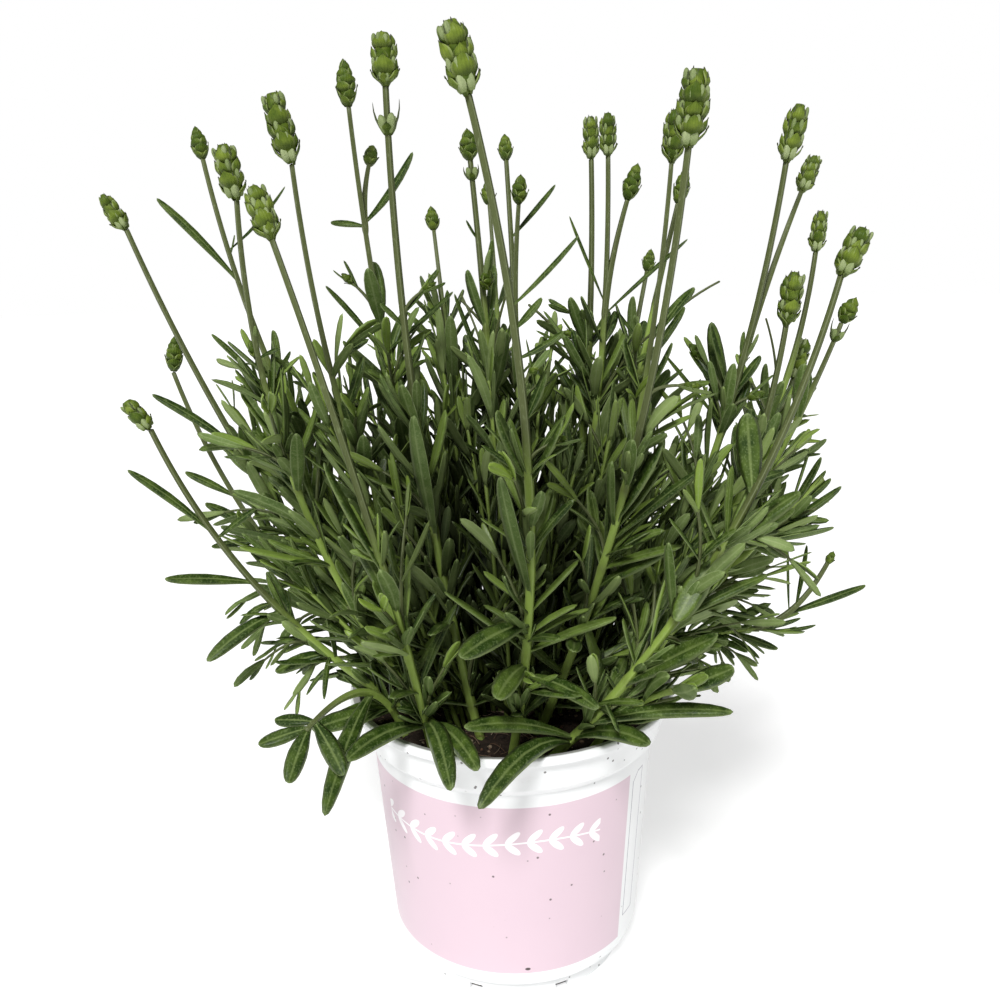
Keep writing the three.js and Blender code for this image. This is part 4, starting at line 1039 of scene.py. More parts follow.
def make_pot(material):
    """The pot turned round its axis, from the middle of its underside out, up over the lip, and down inside.
    In the notches of the foot ring the outer points are drawn in."""
    lip_foot, lip_top = POT_HEIGHT - LIP_DROP, POT_HEIGHT - LIP_ROUND
    outer = [
        (DRAIN_RADIUS, 0), (DRAIN_RADIUS + CHANNEL_SLOPE, CHANNEL_RISE),
        (PAD_RADIUS - CHANNEL_SLOPE, CHANNEL_RISE), (PAD_RADIUS, 0),
        (INNER_FOOT_RADIUS, 0), (FOOT_RADIUS, 0), (FOOT_RADIUS, FOOT_RISE),
        (BEND_RADIUS, BEND_HEIGHT), (WALL_FOOT_RADIUS, WALL_FOOT), (WALL_TOP_RADIUS, STEP_FOOT),
        (BAND_FOOT_RADIUS, BAND_FOOT), (BAND_TOP_RADIUS, lip_foot), (LIP_RADIUS - LIP_ROUND / 2, lip_foot),
        (LIP_RADIUS, lip_top), (LIP_RADIUS - LIP_ROUND, POT_HEIGHT),
    ]
    inner = [
        (BAND_TOP_RADIUS - WALL, lip_top), (BAND_FOOT_RADIUS - WALL, BAND_FOOT),
        (WALL_TOP_RADIUS - WALL, STEP_FOOT), (WALL_FOOT_RADIUS - WALL, WALL_FOOT),
        (FOOT_RADIUS - WALL, FOOT_RISE), (FOOT_RADIUS - WALL, WALL), (PAD_RADIUS + WALL, WALL),
        (PAD_RADIUS - 0.1, CHANNEL_RISE + WALL), (DRAIN_RADIUS + 0.1, CHANNEL_RISE + WALL),
        (DRAIN_RADIUS - WALL, WALL), (20, WALL),
    ]
    rows = rounded(outer + inner, CORNER_ROUND)
    foot = np.nonzero((rows[:, 0] > FOOT_RADIUS - 0.1) & (rows[:, 1] < FOOT_RISE - 0.5))[0][-1] + 1
    over_notch = [[FOOT_RADIUS, NOTCH_HEIGHT], [FOOT_RADIUS, NOTCH_HEIGHT + 0.02]]
    rows = np.concatenate([rows[:foot], over_notch, rows[foot:]])
    half = math.degrees(math.asin(NOTCH_WIDTH / 2 / FOOT_RADIUS))
    apart = 360 / NOTCHES
    middles = (np.arange(NOTCHES) + 0.5) * apart
    sides = [(middles + side * (half + more)) % 360 for side in (-1, 1) for more in (-0.03, 0.03)]
    degrees = np.sort(np.concatenate([np.arange(POT_SEGMENTS) * 360 / POT_SEGMENTS, *sides]))
    radius = np.broadcast_to(rows[:, :1], (len(rows), len(degrees))).copy()
    in_notch = np.abs(degrees[None] % apart - apart / 2) < half
    in_ring = (rows[:, :1] > NOTCH_RADIUS) & (rows[:, :1] < FOOT_RADIUS + 0.1) & (rows[:, 1:] <= NOTCH_HEIGHT)
    radius[in_notch & in_ring] = NOTCH_RADIUS
    grid = polar(radius, np.radians(degrees), rows[:, 1:])
    body, faces, _ = closed_tubes(grid[None], np.zeros((1, 3)), np.array([[0, 0, WALL]]))
    inside = (np.arange(len(rows)) > np.argmax(rows[:, 1])).astype(float)
    heap = Heap()
    heap.add(body, faces, 0, np.concatenate([np.repeat(inside, len(degrees)), [0, 1]]))
    drill(heap.piece("nursery_pot", [material], "pot", "pot"))


def drill(pot):
    """Cuts the drain holes through the channel, as the difference between the pot and upright cylinders."""
    made = bmesh.new()
    away, level = (DRAIN_RADIUS + PAD_RADIUS) / 2 * MM, (CHANNEL_RISE + WALL / 2) * MM
    radius = HOLE_RADIUS * MM
    for i in range(HOLES):
        turn = math.radians(360 / HOLES * (i + 0.5))
        place = Matrix.Translation((away * math.cos(turn), away * math.sin(turn), level))
        bmesh.ops.create_cone(made, cap_ends=True, segments=24, radius1=radius, radius2=radius,
                              depth=WALL * 2.4 * MM, matrix=place)
    drills = bpy.data.meshes.new("drills")
    made.to_mesh(drills)
    made.free()
    cutter = bpy.data.objects.new("drills", drills)
    bpy.context.scene.collection.objects.link(cutter)
    step = pot.modifiers.new("holes", "BOOLEAN")
    step.operation, step.solver, step.object = "DIFFERENCE", "EXACT", cutter
    ready = pot.evaluated_get(bpy.context.evaluated_depsgraph_get())
    cut = bpy.data.meshes.new_from_object(ready)
    pot.modifiers.clear()
    pot.data = cut
    bpy.data.objects.remove(cutter)
    cut.set_sharp_from_angle(angle=math.radians(60))


def soil_height(x, y):
    """The soil's top: two crossed sines and a slanted one, fading to a lower edge at the wall."""
    away = np.hypot(x, y)
    fade = 1 - np.minimum(1, away / WALL_TOP_RADIUS) ** 6
    waves = LUMP_RISE + CROSSED_LUMPS[0] * np.sin(CROSSED_LUMPS[1] * x) * np.cos(CROSSED_LUMPS[2] * y)
    waves = waves + SLANTED_LUMPS[0] * np.sin(SLANTED_LUMPS[1] * x + SLANTED_LUMPS[2] * y)
    return SOIL_LEVEL + fade * waves - smooth((away - WALL_TOP_RADIUS) / 1.5) * (SOIL_LEVEL - SOIL_EDGE)


def hills(x, y, size, seed):
    """Value noise from 0 to 1: fixed random heights on a square lattice, joined by 3t^2 - 2t^3."""
    table = np.random.default_rng(seed).random((256, 256))
    u, v = x / size + 97.3, y / size + 41.7
    i, j = np.floor(u).astype(int), np.floor(v).astype(int)
    s, t = smooth(u - i), smooth(v - j)
    low = table[i % 256, j % 256] * (1 - s) + table[(i + 1) % 256, j % 256] * s
    high = table[i % 256, (j + 1) % 256] * (1 - s) + table[(i + 1) % 256, (j + 1) % 256] * s
    return low * (1 - t) + high * t


def make_soil(materials, r):
    """The soil as a polar grid: closed flat below, its wall following the pot's inside, and its top grainy by
    value noise of three sizes. Crumbs and fibres lie on it."""
    floor = WALL + SOIL_GAP
    shell = np.array([
        (DRAIN_RADIUS - WALL - SOIL_GAP, floor), (DRAIN_RADIUS + 0.1 - SOIL_GAP, CHANNEL_RISE + floor),
        (PAD_RADIUS - 0.1 + SOIL_GAP, CHANNEL_RISE + floor), (PAD_RADIUS + floor, floor),
        (FOOT_RADIUS - floor, floor), (FOOT_RADIUS - floor, FOOT_RISE + 0.1),
        (WALL_FOOT_RADIUS - floor, WALL_FOOT + 0.1), (WALL_TOP_RADIUS - floor, STEP_FOOT + 0.1),
        SOIL_SHOULDER,
    ])
    rings = np.concatenate([SOIL_RIM, np.linspace(51.6, 1.2, SOIL_RINGS)])[:, None]
    a = circle(SOIL_SEGMENTS)
    x, y = rings * np.cos(a), rings * np.sin(a)
    grain = sum((hills(x, y, size, seed) - 0.5) * rise for size, seed, rise in GRAINS)
    top = soil_height(x, y) + grain * GRAIN_RISE * smooth((53 - rings) / 3) - 0.35
    grid = np.concatenate([polar(shell[:, :1], a, shell[:, 1:]), polar(rings, a, top)])
    middle = float(soil_height(0.0, 0.0))
    body, faces, _ = closed_tubes(grid[None], np.array([[0, 0, floor]]), np.array([[0, 0, middle - 0.3]]))
    heap = Heap()
    heap.add(body, faces, 0)
    add_crumbs(heap, r)
    add_fibres(heap, r)
    heap.piece("peat", materials, "soil", "soil")


def add_crumbs(heap, r):
    """Small uneven lumps of three rings of six corners and two poles."""
    foot = scattered(50, CRUMBS, r)
    size = r.uniform(0.35, 1.25, CRUMBS) * r.uniform(0.6, 1, CRUMBS)
    z = soil_height(*foot.T) - 0.1
    flat = r.uniform(0.55, 1.1, (CRUMBS, 1, 1))
    width, thick = np.array([0.62, 1.0, 0.6])[:, None], np.array([-0.5, 0.0, 0.5])[:, None]
    size_of_ring = size[:, None, None]
    ring = size_of_ring * width * r.uniform(0.7, 1.25, (CRUMBS, 3, 6))
    b = circle(6)
    x, y = foot[:, 0, None, None], foot[:, 1, None, None]
    lumps = np.stack([x + ring * np.cos(b), y + ring * np.sin(b),
                      z[:, None, None] + size_of_ring * flat * thick + ring * 0], axis=-1)
    low, high = [np.column_stack([foot, z + side * size * flat[:, 0, 0] * 0.75]) for side in (-1, 1)]
    body, faces, one = closed_tubes(lumps, low, high)
    heap.add(body, faces, 1, 0.0, 0.0, np.repeat(r.random(CRUMBS), one))


def scattered(reach, count, r):
    """Random places on the soil within a reach of its middle."""
    away = reach * np.sqrt(r.random(count))
    turn = r.uniform(0, 2 * np.pi, count)
    return polar(away, turn, 0)[:, :2]


def add_fibres(heap, r):
    """Thin bent threads with four sides."""
    foot = scattered(49, FIBRES, r)
    foot = np.column_stack([foot, soil_height(*foot.T) + 0.1])
    course = r.uniform(0, 2 * np.pi, FIBRES)
    step = polar(1, course, 0) * r.uniform(2.5, 9, FIBRES)[:, None]
    middle = foot + step * 0.5 + r.normal(0, 1, (FIBRES, 3)) * [1.2, 1.2, 0.5]
    control = np.stack([foot, middle, foot + step])
    control[1, :, 2] += 0.8
    inside = np.hypot(control[2, :, 0], control[2, :, 1]) < 50
    path = bend(control[:, inside, None], np.linspace(0, 1, 7)[:, None])
    c = circle(4)
    thin = r.uniform(0.07, 0.16, inside.sum())[:, None, None]
    sideways = unit(np.cross(step[inside], UP))[:, None, None, :]
    threads = path[:, :, None] + sideways * (thin * np.cos(c))[..., None] + UP * (thin * np.sin(c))[..., None]
    body, faces, one = closed_tubes(threads[:, :, ::-1], path[:, 0], path[:, -1])
    heap.add(body, faces, 1, 0.0, 0.0, np.repeat(0.75 + 0.25 * r.random(inside.sum()), one))


# Finishes
def leaf_finish(name, dark, light, rib, rim, roughness, rib_share, wool):
    """A leaf's face: its colour goes from dark to light by tone and noise, and on to yellow-green for a young
    leaf. The midrib and the rims are paler, and painted shade darkens all of it deep in the plant."""
    f = Finish(name, roughness, Specular_IOR_Level=0.22)
    across, along, tone = f.attribute("across").size(), f.attribute("along"), f.attribute("tone")
    cloud = f.noise(180, 3)
    grain = f.noise(1500, 2)
    share = (tone * tone * 0.9 + (cloud - 0.5) * 1.1 + along * 0.1 + 0.02).clamped()
    colour = f.mix(share, dark, light)
    colour = f.mix(tone.rise(1.0, 1.7) * 0.75, colour, (0.2, 0.3, 0.035))
    colour = f.mix((1 - across.rise(0.03, 0.19)) * rib_share * (1 - along * 0.5), colour, rib)
    colour = f.mix(across.rise(0.78, 0.95) * 0.7, colour, rim)
    colour = f.mix(along.rise(0.94, 1.0) * 0.35, colour, rim)
    colour = f.mix((1 - along.rise(0.0, 0.12)) * 0.5, colour, rim)
    colour = f.mix(grain.rise(0.5, 0.72) * wool, colour, rim)
    # painted shade: darker deep in the plant
    colour = f.mix(f.attribute("depth") * 0.95, colour, f.scaled(colour, 0.08))
    f.set("Base Color", colour)
    f.set("Roughness", (grain - 0.5) * 0.35 + roughness)
    f.bump(grain, 0.08, 0.6)
    return f.material


def stem_finish():
    """Yellow-green where leaves grow, dark olive above; the four edges are paler and the nodes darker.
    Painted shade darkens it deep in the plant.
    """
    f = Finish("stem", 0.5, Specular_IOR_Level=0.25)
    edge, node, stalk = f.attribute("across"), f.attribute("along"), f.attribute("tone")
    cloud = f.noise(260, 3, stretch=(1, 1, 0.25))
    grain = f.noise(1600, 2, stretch=(1, 1, 0.3))
    colour = f.mix(stalk, (0.26, 0.37, 0.07), (0.088, 0.108, 0.034))
    colour = f.mix((cloud - 0.35) * 1.2, colour, f.scaled(colour, 0.6))
    colour = f.mix(edge.rise(0.35, 1.0) * 0.45, colour, f.mix(stalk, (0.3, 0.38, 0.12), (0.27, 0.3, 0.17)))
    colour = f.mix(node * 0.5, colour, (0.06, 0.055, 0.02))
    colour = f.mix(grain.rise(0.55, 0.8) * 0.25, colour, (0.35, 0.42, 0.22))
    # painted shade: darker deep in the plant
    colour = f.mix(f.attribute("depth") * 0.8, colour, f.scaled(colour, 0.15))
    f.set("Base Color", colour)
    f.bump(grain, 0.1, 0.7)
    return f.material


def bract_finish():
    """Fresh green with fine veins that run lengthwise, paler towards the rims and dark at the tip. Painted
    shade darkens its lower part, where other bracts overlap it.
    """
    f = Finish("bract", 0.5, Specular_IOR_Level=0.2)
    across, along, tone = f.attribute("across"), f.attribute("along"), f.attribute("tone")
    veins = (across * 22).sine() * 0.5 + 0.5
    cloud = f.noise(420, 3)
    share = (tone * 0.6 + (cloud - 0.5) * 1.6 + 0.1).clamped()
    colour = f.mix(share, (0.05, 0.088, 0.005), (0.195, 0.262, 0.03))
    colour = f.mix(veins * 0.14, colour, (0.06, 0.1, 0.005))
    colour = f.mix(across.size().rise(0.78, 1.0) * 0.5, colour, (0.34, 0.4, 0.16))
    colour = f.mix(along.rise(0.84, 0.98) * 0.75, colour, (0.045, 0.045, 0.02))
    # painted shade: the lower part of a bract, where other bracts overlap it, darker
    colour = f.mix((1 - along.rise(0.1, 0.42)) * 0.6, colour, (0.03, 0.05, 0.004))
    f.set("Base Color", colour)
    f.bump(veins + cloud, 0.12, 0.6)
    return f.material


def calyx_finish():
    """Pale grey-green wool in ribs, greener at the foot and a little darker at the tip, with painted shade in
    the grooves between the ribs.
    """
    f = Finish("calyx", 0.85, Specular_IOR_Level=0.2)
    across, along, tone = f.attribute("across"), f.attribute("along"), f.attribute("tone")
    wool = f.noise(2200, 3, 0.7)
    colour = f.mix(tone * 0.65 + (wool - 0.5) * 1.2, (0.13, 0.185, 0.045), (0.36, 0.42, 0.21))
    colour = f.mix((1 - along.rise(0.0, 0.4)) * 0.5, colour, (0.15, 0.22, 0.04))
    # painted shade: darker in the grooves between the ribs
    colour = f.mix((0.5 - across * 0.5) * 0.35, colour, (0.13, 0.18, 0.07))
    colour = f.mix(along.rise(0.86, 1.0) * 0.5, colour, (0.09, 0.1, 0.05))
    f.set("Base Color", colour)
    f.bump(wool, 0.16, 0.9)
    return f.material


def tooth_finish():
    """Dark green-brown of the awls."""
    f = Finish("awl", 0.6)
    along = f.attribute("along")
    cloud = f.noise(700, 3)
    colour = f.mix((cloud - 0.5) * 1.4 + 0.5, (0.03, 0.045, 0.01), (0.075, 0.1, 0.025))
    colour = f.mix(along.rise(0.5, 1.0) * 0.7, colour, (0.035, 0.032, 0.02))
    f.set("Base Color", colour)
    f.bump(cloud, 0.1, 0.5)
    return f.material


def pot_finish():
    """White plastic with a pink panel that carries a plain white sprig, a thin framed strip beside it, grey
    painted shade on the inside, where it faces the soil, and some soil dust."""
    f = Finish("pot", 0.32, Specular_IOR_Level=0.5)
    x, y, z = f.place()
    bearing = x.math("ARCTAN2", -y) * (180 / math.pi)
    inside = f.attribute("along")
    wave = f.noise(30, 2) - 0.5
    panel = bearing.rise(PANEL_LEFT - 0.2, PANEL_LEFT + 0.2)
    panel = panel * bearing.rise(PANEL_RIGHT + 0.2, PANEL_RIGHT - 0.2)
    panel = panel * z.rise(PANEL_FOOT - 0.15, PANEL_FOOT + 0.15) * z.rise(PANEL_TOP + 0.15, PANEL_TOP - 0.15)
    panel = panel * (1 - inside)
    # The sprig: u runs along the wall and v up it, both in millimetres
    u = (bearing - SPRIG_MIDDLE) * math.radians(SPRIG_RADIUS)
    v = z - SPRIG_HEIGHT - (u * SPRIG_WAVE[1]).sine() * SPRIG_WAVE[0]
    reach = (1 - u.size().rise(SPRIG_HALF_LENGTH - 0.3, SPRIG_HALF_LENGTH))
    stem = (1 - v.size().rise(0.22, 0.4)) * reach
    step = (u / SPRIG_LEAF_STEP).wrapped() * SPRIG_LEAF_STEP - 0.4
    side = v.size()
    lean = math.radians(SPRIG_LEAF_LEAN)
    low = step * math.cos(lean) + side * math.sin(lean)
    off = side * math.cos(lean) - step * math.sin(lean)
    half = SPRIG_LEAF_LENGTH / 2
    leaf = ((low - half) / half) * ((low - half) / half) + (off / SPRIG_LEAF_WIDTH) * (off / SPRIG_LEAF_WIDTH)
    leaf = (1 - leaf.rise(0.85, 1.1)) * reach
    sprig = stem.most(leaf) * panel
    # The framed strip: how far a point lies from the nearest side of the frame, inside it
    across = (bearing - (STRIP_LEFT + STRIP_RIGHT) / 2).size()
    wide = ((STRIP_RIGHT - STRIP_LEFT) / 2 - across) * math.radians(STRIP_RADIUS)
    high = (STRIP_TOP - STRIP_FOOT) / 2 - (z - (STRIP_TOP + STRIP_FOOT) / 2).size()
    cut = (STRIP_TOP - z) + (bearing - STRIP_LEFT) * math.radians(STRIP_RADIUS) - STRIP_CORNER
    near = wide.least(high).least(cut * 0.7)
    line = near.rise(-0.05, 0.05) * near.rise(STRIP_LINE + 0.05, STRIP_LINE - 0.05) * (1 - inside)
    cloud = f.noise(40, 4)
    colour = f.mix(cloud * 0.5, (0.87, 0.88, 0.88), (0.81, 0.825, 0.83))
    pink = f.mix((cloud - 0.3) * 0.8, (0.705, 0.548, 0.615), (0.672, 0.52, 0.592))
    colour = f.mix(panel, colour, pink)
    colour = f.mix(sprig * 0.92, colour, (0.95, 0.93, 0.94))
    colour = f.mix(line * 0.85, colour, (0.16, 0.12, 0.2))
    # painted shade: the inside of the pot, which faces the soil, grey
    colour = f.mix(inside * 0.75, colour, (0.3, 0.29, 0.27))
    # Dust: a few small specks, more of them on the band
    spot = f.node("ShaderNodeTexCoord", {}, {}, "Object")
    cells = {"Vector": spot, "Scale": 260.0}
    gap = f.node("ShaderNodeTexVoronoi", {}, cells, "Distance")
    pick = f.node("ShaderNodeTexVoronoi", {}, cells, "Color")
    pick = f.node("ShaderNodeSeparateXYZ", {}, {0: pick}, 0)
    fewer = 0.8 - z.rise(84, 95) * 0.35 - z.rise(20, 10) * 0.15
    speck = (1 - gap.rise(0.07, 0.15)) * (pick - fewer).rise(0.0, 0.004) * (1 - inside)
    crumb = ((bearing - CRUMB_BEARING) * 0.8) ** 2 + ((z - CRUMB_HEIGHT) * 1.6) ** 2
    crumb = crumb.rise(1.1, 0.6) * (1 - inside)
    colour = f.mix((speck * 0.85).most(crumb * 0.95), colour, (0.05, 0.035, 0.03))
    smear = f.noise(90, 5, 0.65).rise(0.56, 0.75) * (z.rise(80, 100) * 0.07 + 0.02)
    colour = f.mix(smear, colour, (0.3, 0.26, 0.22))
    f.set("Base Color", colour)
    f.set("Roughness", (cloud - 0.5) * 0.2 + 0.34 + smear)
    f.bump(f.noise(160, 3) + wave * 2, 0.1, 0.35)
    return f.material


def soil_finish():
    """Dark brown peat in grains, with redder and greyer ones among them."""
    f = Finish("peat", 0.95, Specular_IOR_Level=0.15)
    big, fine = f.noise(220, 5, 0.6), f.noise(1300, 4, 0.7)
    colour = f.mix((big - 0.3) * 1.6, (0.012, 0.009, 0.007), (0.055, 0.036, 0.024))
    colour = f.mix(fine.rise(0.58, 0.72) * 0.7, colour, (0.11, 0.062, 0.035))
    colour = f.mix(fine.rise(0.7, 0.85) * 0.8, colour, (0.2, 0.17, 0.13))
    f.set("Base Color", colour)
    f.bump(fine + big * 2, 0.7, 1.0)
    return f.material


def crumb_finish():
    """Crumbs and fibres, from black-brown through red-brown to straw by their tone."""
    f = Finish("crumb", 0.9, Specular_IOR_Level=0.2)
    tone = f.attribute("tone")
    fine = f.noise(1500, 4, 0.7)
    colour = f.mix(tone.rise(0.3, 0.7), (0.018, 0.013, 0.01), (0.09, 0.045, 0.026))
    colour = f.mix(tone.rise(0.72, 1.0), colour, (0.24, 0.19, 0.13))
    colour = f.mix(fine.rise(0.45, 0.7) * 0.6, colour, f.scaled(colour, 0.45))
    f.set("Base Color", colour)
    f.bump(fine, 0.3, 0.9)
    return f.material


# Growth that the solids leave out
def measured(kind, bearing, rise, length_rise, r):
    """Bearing, angle, length, width and droop of a leaf of some kind, between those at the foot and the top.
    Scatter is added to an angle or a droop, and a length or a width is multiplied by it."""
    turn, angle, length, width, droop = kind
    return (bearing + r.uniform(*turn),
            between(*angle[:2], rise) + r.uniform(*angle[2]),
            between(*length[:2], length_rise) * r.uniform(*length[2]),
            between(*width[:2], rise) * r.uniform(*width[2]),
            between(*droop[:2], rise) + r.uniform(*droop[2]))


def tuft_leaf(ranges, share, bearing, r):
    """Share, bearing, angle, length, width and droop of one leaf of a tuft."""
    more, turn, *rest = [r.uniform(*span) for span in ranges]
    return share + more, bearing + turn, *rest


def extra_leaves(stem, r):
    """Measures of small leaves that the solids leave out: a pair between each two of theirs, and a tuft in
    the corner of each leaf. Then the shares where the solids' pairs leave the stem."""
    if not stem.leafy:
        return [], []
    laid = []
    shares = [s * stem.leafy for s in stem.pairs()]
    for k, (low, high) in enumerate(zip(shares[:-1], shares[1:])):
        share = (low + high) / 2
        rise = share / stem.leafy
        for side in range(2):
            bearing = 90 * k + 90 + 180 * side
            laid.append((share, *measured(MIDWAY_LEAF, bearing, rise, math.sin(3.14 * rise), r)))
    for k, share in enumerate(shares):
        for side in range(2):
            for n in range(r.integers(*TUFT_LEAVES)):
                laid.append(tuft_leaf(TUFT, share, 45 + 90 * k + 180 * side, r))
    return laid, shares


def short_leaves(branch, r, first=0.2):
    """Measures of the leaves on a short side shoot: crossed pairs evenly spaced from the first up to the
    shoot's top, where they are steeper and shorter."""
    pairs = max(3, int(round(branch.length * (1 - first) / SHOOT_PAIR_SPACING)))
    laid = []
    for k in range(pairs):
        share = between(first, 0.98, k / (pairs - 1))
        for side in range(2):
            laid.append((share, *measured(SHOOT_LEAF, 90 * k + 180 * side, share, share, r)))
    return laid


def side_shoots(stem, shares, r):
    """Short branches in the corners of most leaves, in the stem's direction and outwards."""
    made = []
    for k, share in enumerate(shares[:-1]):
        for side in range(2):
            if r.random() > SIDE_SHOOT_CHANCE:
                continue
            point, along, aside, away = stem.frame(share)
            bearing = math.radians(45 + 90 * k + 180 * side + r.uniform(-25, 25))
            out = aside * math.cos(bearing) + away * math.sin(bearing)
            top = point + (along * 0.8 + out * r.uniform(0.35, 0.8) + UP * 0.3) * r.uniform(18, 40)
            number = SIDE_SHOOT_NUMBER + stem.number * 20 + k * 2 + side
            row = {"from": share, "top": top, "thick": SIDE_SHOOT_THICK}
            made.append(Stem(row, number, (0, 0), stem))
    return made


def lay_all(stem, laid, r, owner, youth=0.0):
    """Leaves from their measures, kept if clear of all else. Their tone rises by youth towards the top."""
    kept = []
    for share, bearing, angle, length, width, droop in laid:
        twist, sweep = r.uniform(*SMALL_TWIST), r.uniform(*SMALL_SWEEP)
        control, across = free_leaf(stem, min(share, 0.995), bearing, angle, length, droop, twist, sweep)
        # the tone is darkened near the soil as painted shade
        tone = r.random() * painted_low_shade_tone(control) + youth * share ** 3
        marks = bend(control, np.array([0.45, 0.75, 1.0])[:, None])
        if inside_bounds(marks) and in_crown(marks) and crowd.clear(marks, owner, 1.5 + width * 0.4):
            kept.append((control, across, width, tone))
    return kept


def painted_low_shade_tone(control):
    """Share of a leaf's tone, darkened near the soil as painted shade: 0.25 near the soil, rising to 1 at 70
    mm above it.
    """
    return 0.25 + 0.75 * smooth((control[2][2] - SOIL_LEVEL - 10) / 60)


def shade_of_solid_leaf(control):
    """Share of its tone for a leaf that the solids hold too, darkened near the soil as painted shade, and
    less than half for one that stands out.
    """
    x, y, z = control[2]
    return painted_low_shade_tone(control) * (0.4 if math.hypot(x, y) > OUTLYING[0] or z > OUTLYING[1] else 1)


def add_blades(heap, leaves, stations, r):
    """Adds leaves given as control points, width's direction, width and, if not drawn here, tone."""
    if leaves:
        control = np.stack([np.stack(leaf[0]) for leaf in leaves])
        across = np.stack([leaf[1] for leaf in leaves])
        width = np.array([leaf[2] for leaf in leaves], float)
        tone = np.array([leaf[3] if len(leaf) > 3 else r.random() for leaf in leaves])
        heap.add(*blades(control, across, width, stations, tone))


def inner_shoots(r, wanted):
    """Slender shoots that fill the middle of the plant: they leave the soil at random, lean outwards as the
    others do, and keep clear of every stem."""
    made = []
    for attempt in range(wanted * FILL_TRIES):
        if len(made) == wanted:
            break
        away, turn = FILL_RADIUS * math.sqrt(r.random()), r.uniform(0, 2 * math.pi)
        root = np.array([away * math.cos(turn), away * math.sin(turn), STEM_LEVEL])
        height = r.uniform(*FILL_HEIGHT)
        lean = (0.55 * away / FILL_RADIUS + r.uniform(-0.1, 0.25)) * height
        heading = turn + r.uniform(-0.5, 0.5)
        top = root + np.array([math.cos(heading) * lean, math.sin(heading) * lean * 0.8, height])
        knee = (root + top) / 2 + np.array([0, 0, height * 0.06])
        row = {"knee": knee, "top": top, "thick": FILLER_THICK}
        stem = Stem(row, FILLER_NUMBER + attempt, root[:2], None)
        marks = stem.frame(np.linspace(0, 1, 24))[0]
        inside = marks[:, 1].min() > FILL_FRONT and inside_bounds(marks[3:]) and in_crown(marks[3:] + UP * 8)
        if inside and crowd.clear(marks, -1, FILL_ROOM):
            crowd.add(marks, stem.number)
            made.append(stem)
    return made


def leaves_of_solid(stem, corners, r):
    """The leaves that the solid holds on one stem, then the loose ones listed for it."""
    kept = []
    for leaf in solid_leaves(stem):
        found = as_in_solid(stem, leaf, corners)
        if found:
            tone = r.random() * shade_of_solid_leaf(found[0])
            kept.append((*found, leaf["width"] * LEAF_BREADTH, tone))
    for share, tip, width, arch in LOOSE_LEAVES.get(stem.number, []):
        control, across = aim_leaf(stem, {"share": share, "tip": np.array(tip, float), "arch": arch})
        kept.append((control, to_front(control, across), width, 0.3 * r.random()))
    return kept


def listed_growth(stem, heap, r):
    """Adds the side buds and sprays listed for one stem to its heap, and gives their leaves."""
    kept = []
    for at, (number, share, place, size) in enumerate(SIDE_BUDS + SPRAYS):
        if number != stem.number:
            continue
        row = {"from": share, "top": place, "thick": LISTED_THICK}
        branch = Stem(row, LISTED_NUMBER + at, (0, 0), stem)
        heap.add(*stem_tube(branch, []))
        if at < len(SIDE_BUDS):
            foot, *ways = branch.frame(1.0)
            parts = head_parts(size, size * BUD_SHARE, at)
            stand(parts, heap, foot - ways[0] * SIDE_BUD_SINK, *ways, AFTER_LEAVES)
            laid = [(0.86, 180 * k + r.uniform(-30, 30), r.uniform(10, 24), size * 2.1, 2.2, -0.2)
                    for k in range(2)]
        else:
            laid = [(*leaf[:3], size * r.uniform(0.75, 1.15), *leaf[4:]) for leaf in short_leaves(branch, r)]
        for *way, length, wide, droop in laid:
            kept.append((*free_leaf(branch, *way, length, droop, 0, r.uniform(-20, 20)), wide))
    return kept


def facing_front(along):
    """A direction and two cross directions, of which the first points to the right."""
    across = unit(np.array([1.0, 0, 0]) - along * along[0])
    return along, across, np.cross(along, across)


def add_head(stem, heap):
    """Makes the stem's flower head a piece, and adds its detached lower ring, if it has one, to the heap."""
    number, length, width = stem.row["head"]
    point, along, _, _ = stem.frame(1.0)
    lean = unit(along + np.array(stem.row.get("nod", (0, 0, 0))))
    gap = HEAD_GAP + STEM_TOP_RADIUS * np.linalg.norm(lean - along)
    head = Heap()
    stand(head_parts(length, width, number), head, point + lean * gap, *facing_front(lean))
    head.piece(f"flower_head_{number:02d}", head_finishes, "head", f"spike_{number:02d}")
    if "whorl" in stem.row:
        share = 1 - (WHORL_DROP + stem.row["whorl"]) / stem.length
        spot, along, _, _ = stem.frame(share)
        parts = whorl_parts(float(stem.radius(share)), width / FULL_WIDTH, number)
        stand(parts, heap, spot, *facing_front(along), AFTER_LEAVES)


def add_stem(stem, corners, heap, r):
    """Adds one stem with its leaves, side shoots and bud to a shoot's heap."""
    add_blades(heap, leaves_of_solid(stem, corners, r), LEAF_STATIONS, r)
    laid, shares = extra_leaves(stem, r)
    extra = lay_all(stem, laid, r, stem.number, youth=0.7)
    for branch in side_shoots(stem, shares, r):
        marks = bend(branch.control, np.array([0.5, 0.8, 1.0])[:, None])
        if inside_bounds(marks) and crowd.clear(marks, stem.number, SIDE_SHOOT_ROOM):
            heap.add(*stem_tube(branch, []))
            extra += lay_all(branch, short_leaves(branch, r), r, stem.number, youth=0.8)
    extra += listed_growth(stem, heap, r)
    add_blades(heap, extra, SMALL_STATIONS, r)
    heap.add(*stem_tube(stem, shares))
    if "head" in stem.row:
        add_head(stem, heap)
    if "bud" in stem.row:
        foot, *ways = stem.frame(1.0)
        parts = head_parts(*stem.row["bud"], BUD_SEED)
        stand(parts, heap, foot - ways[0] * BUD_SINK, *ways, AFTER_LEAVES)


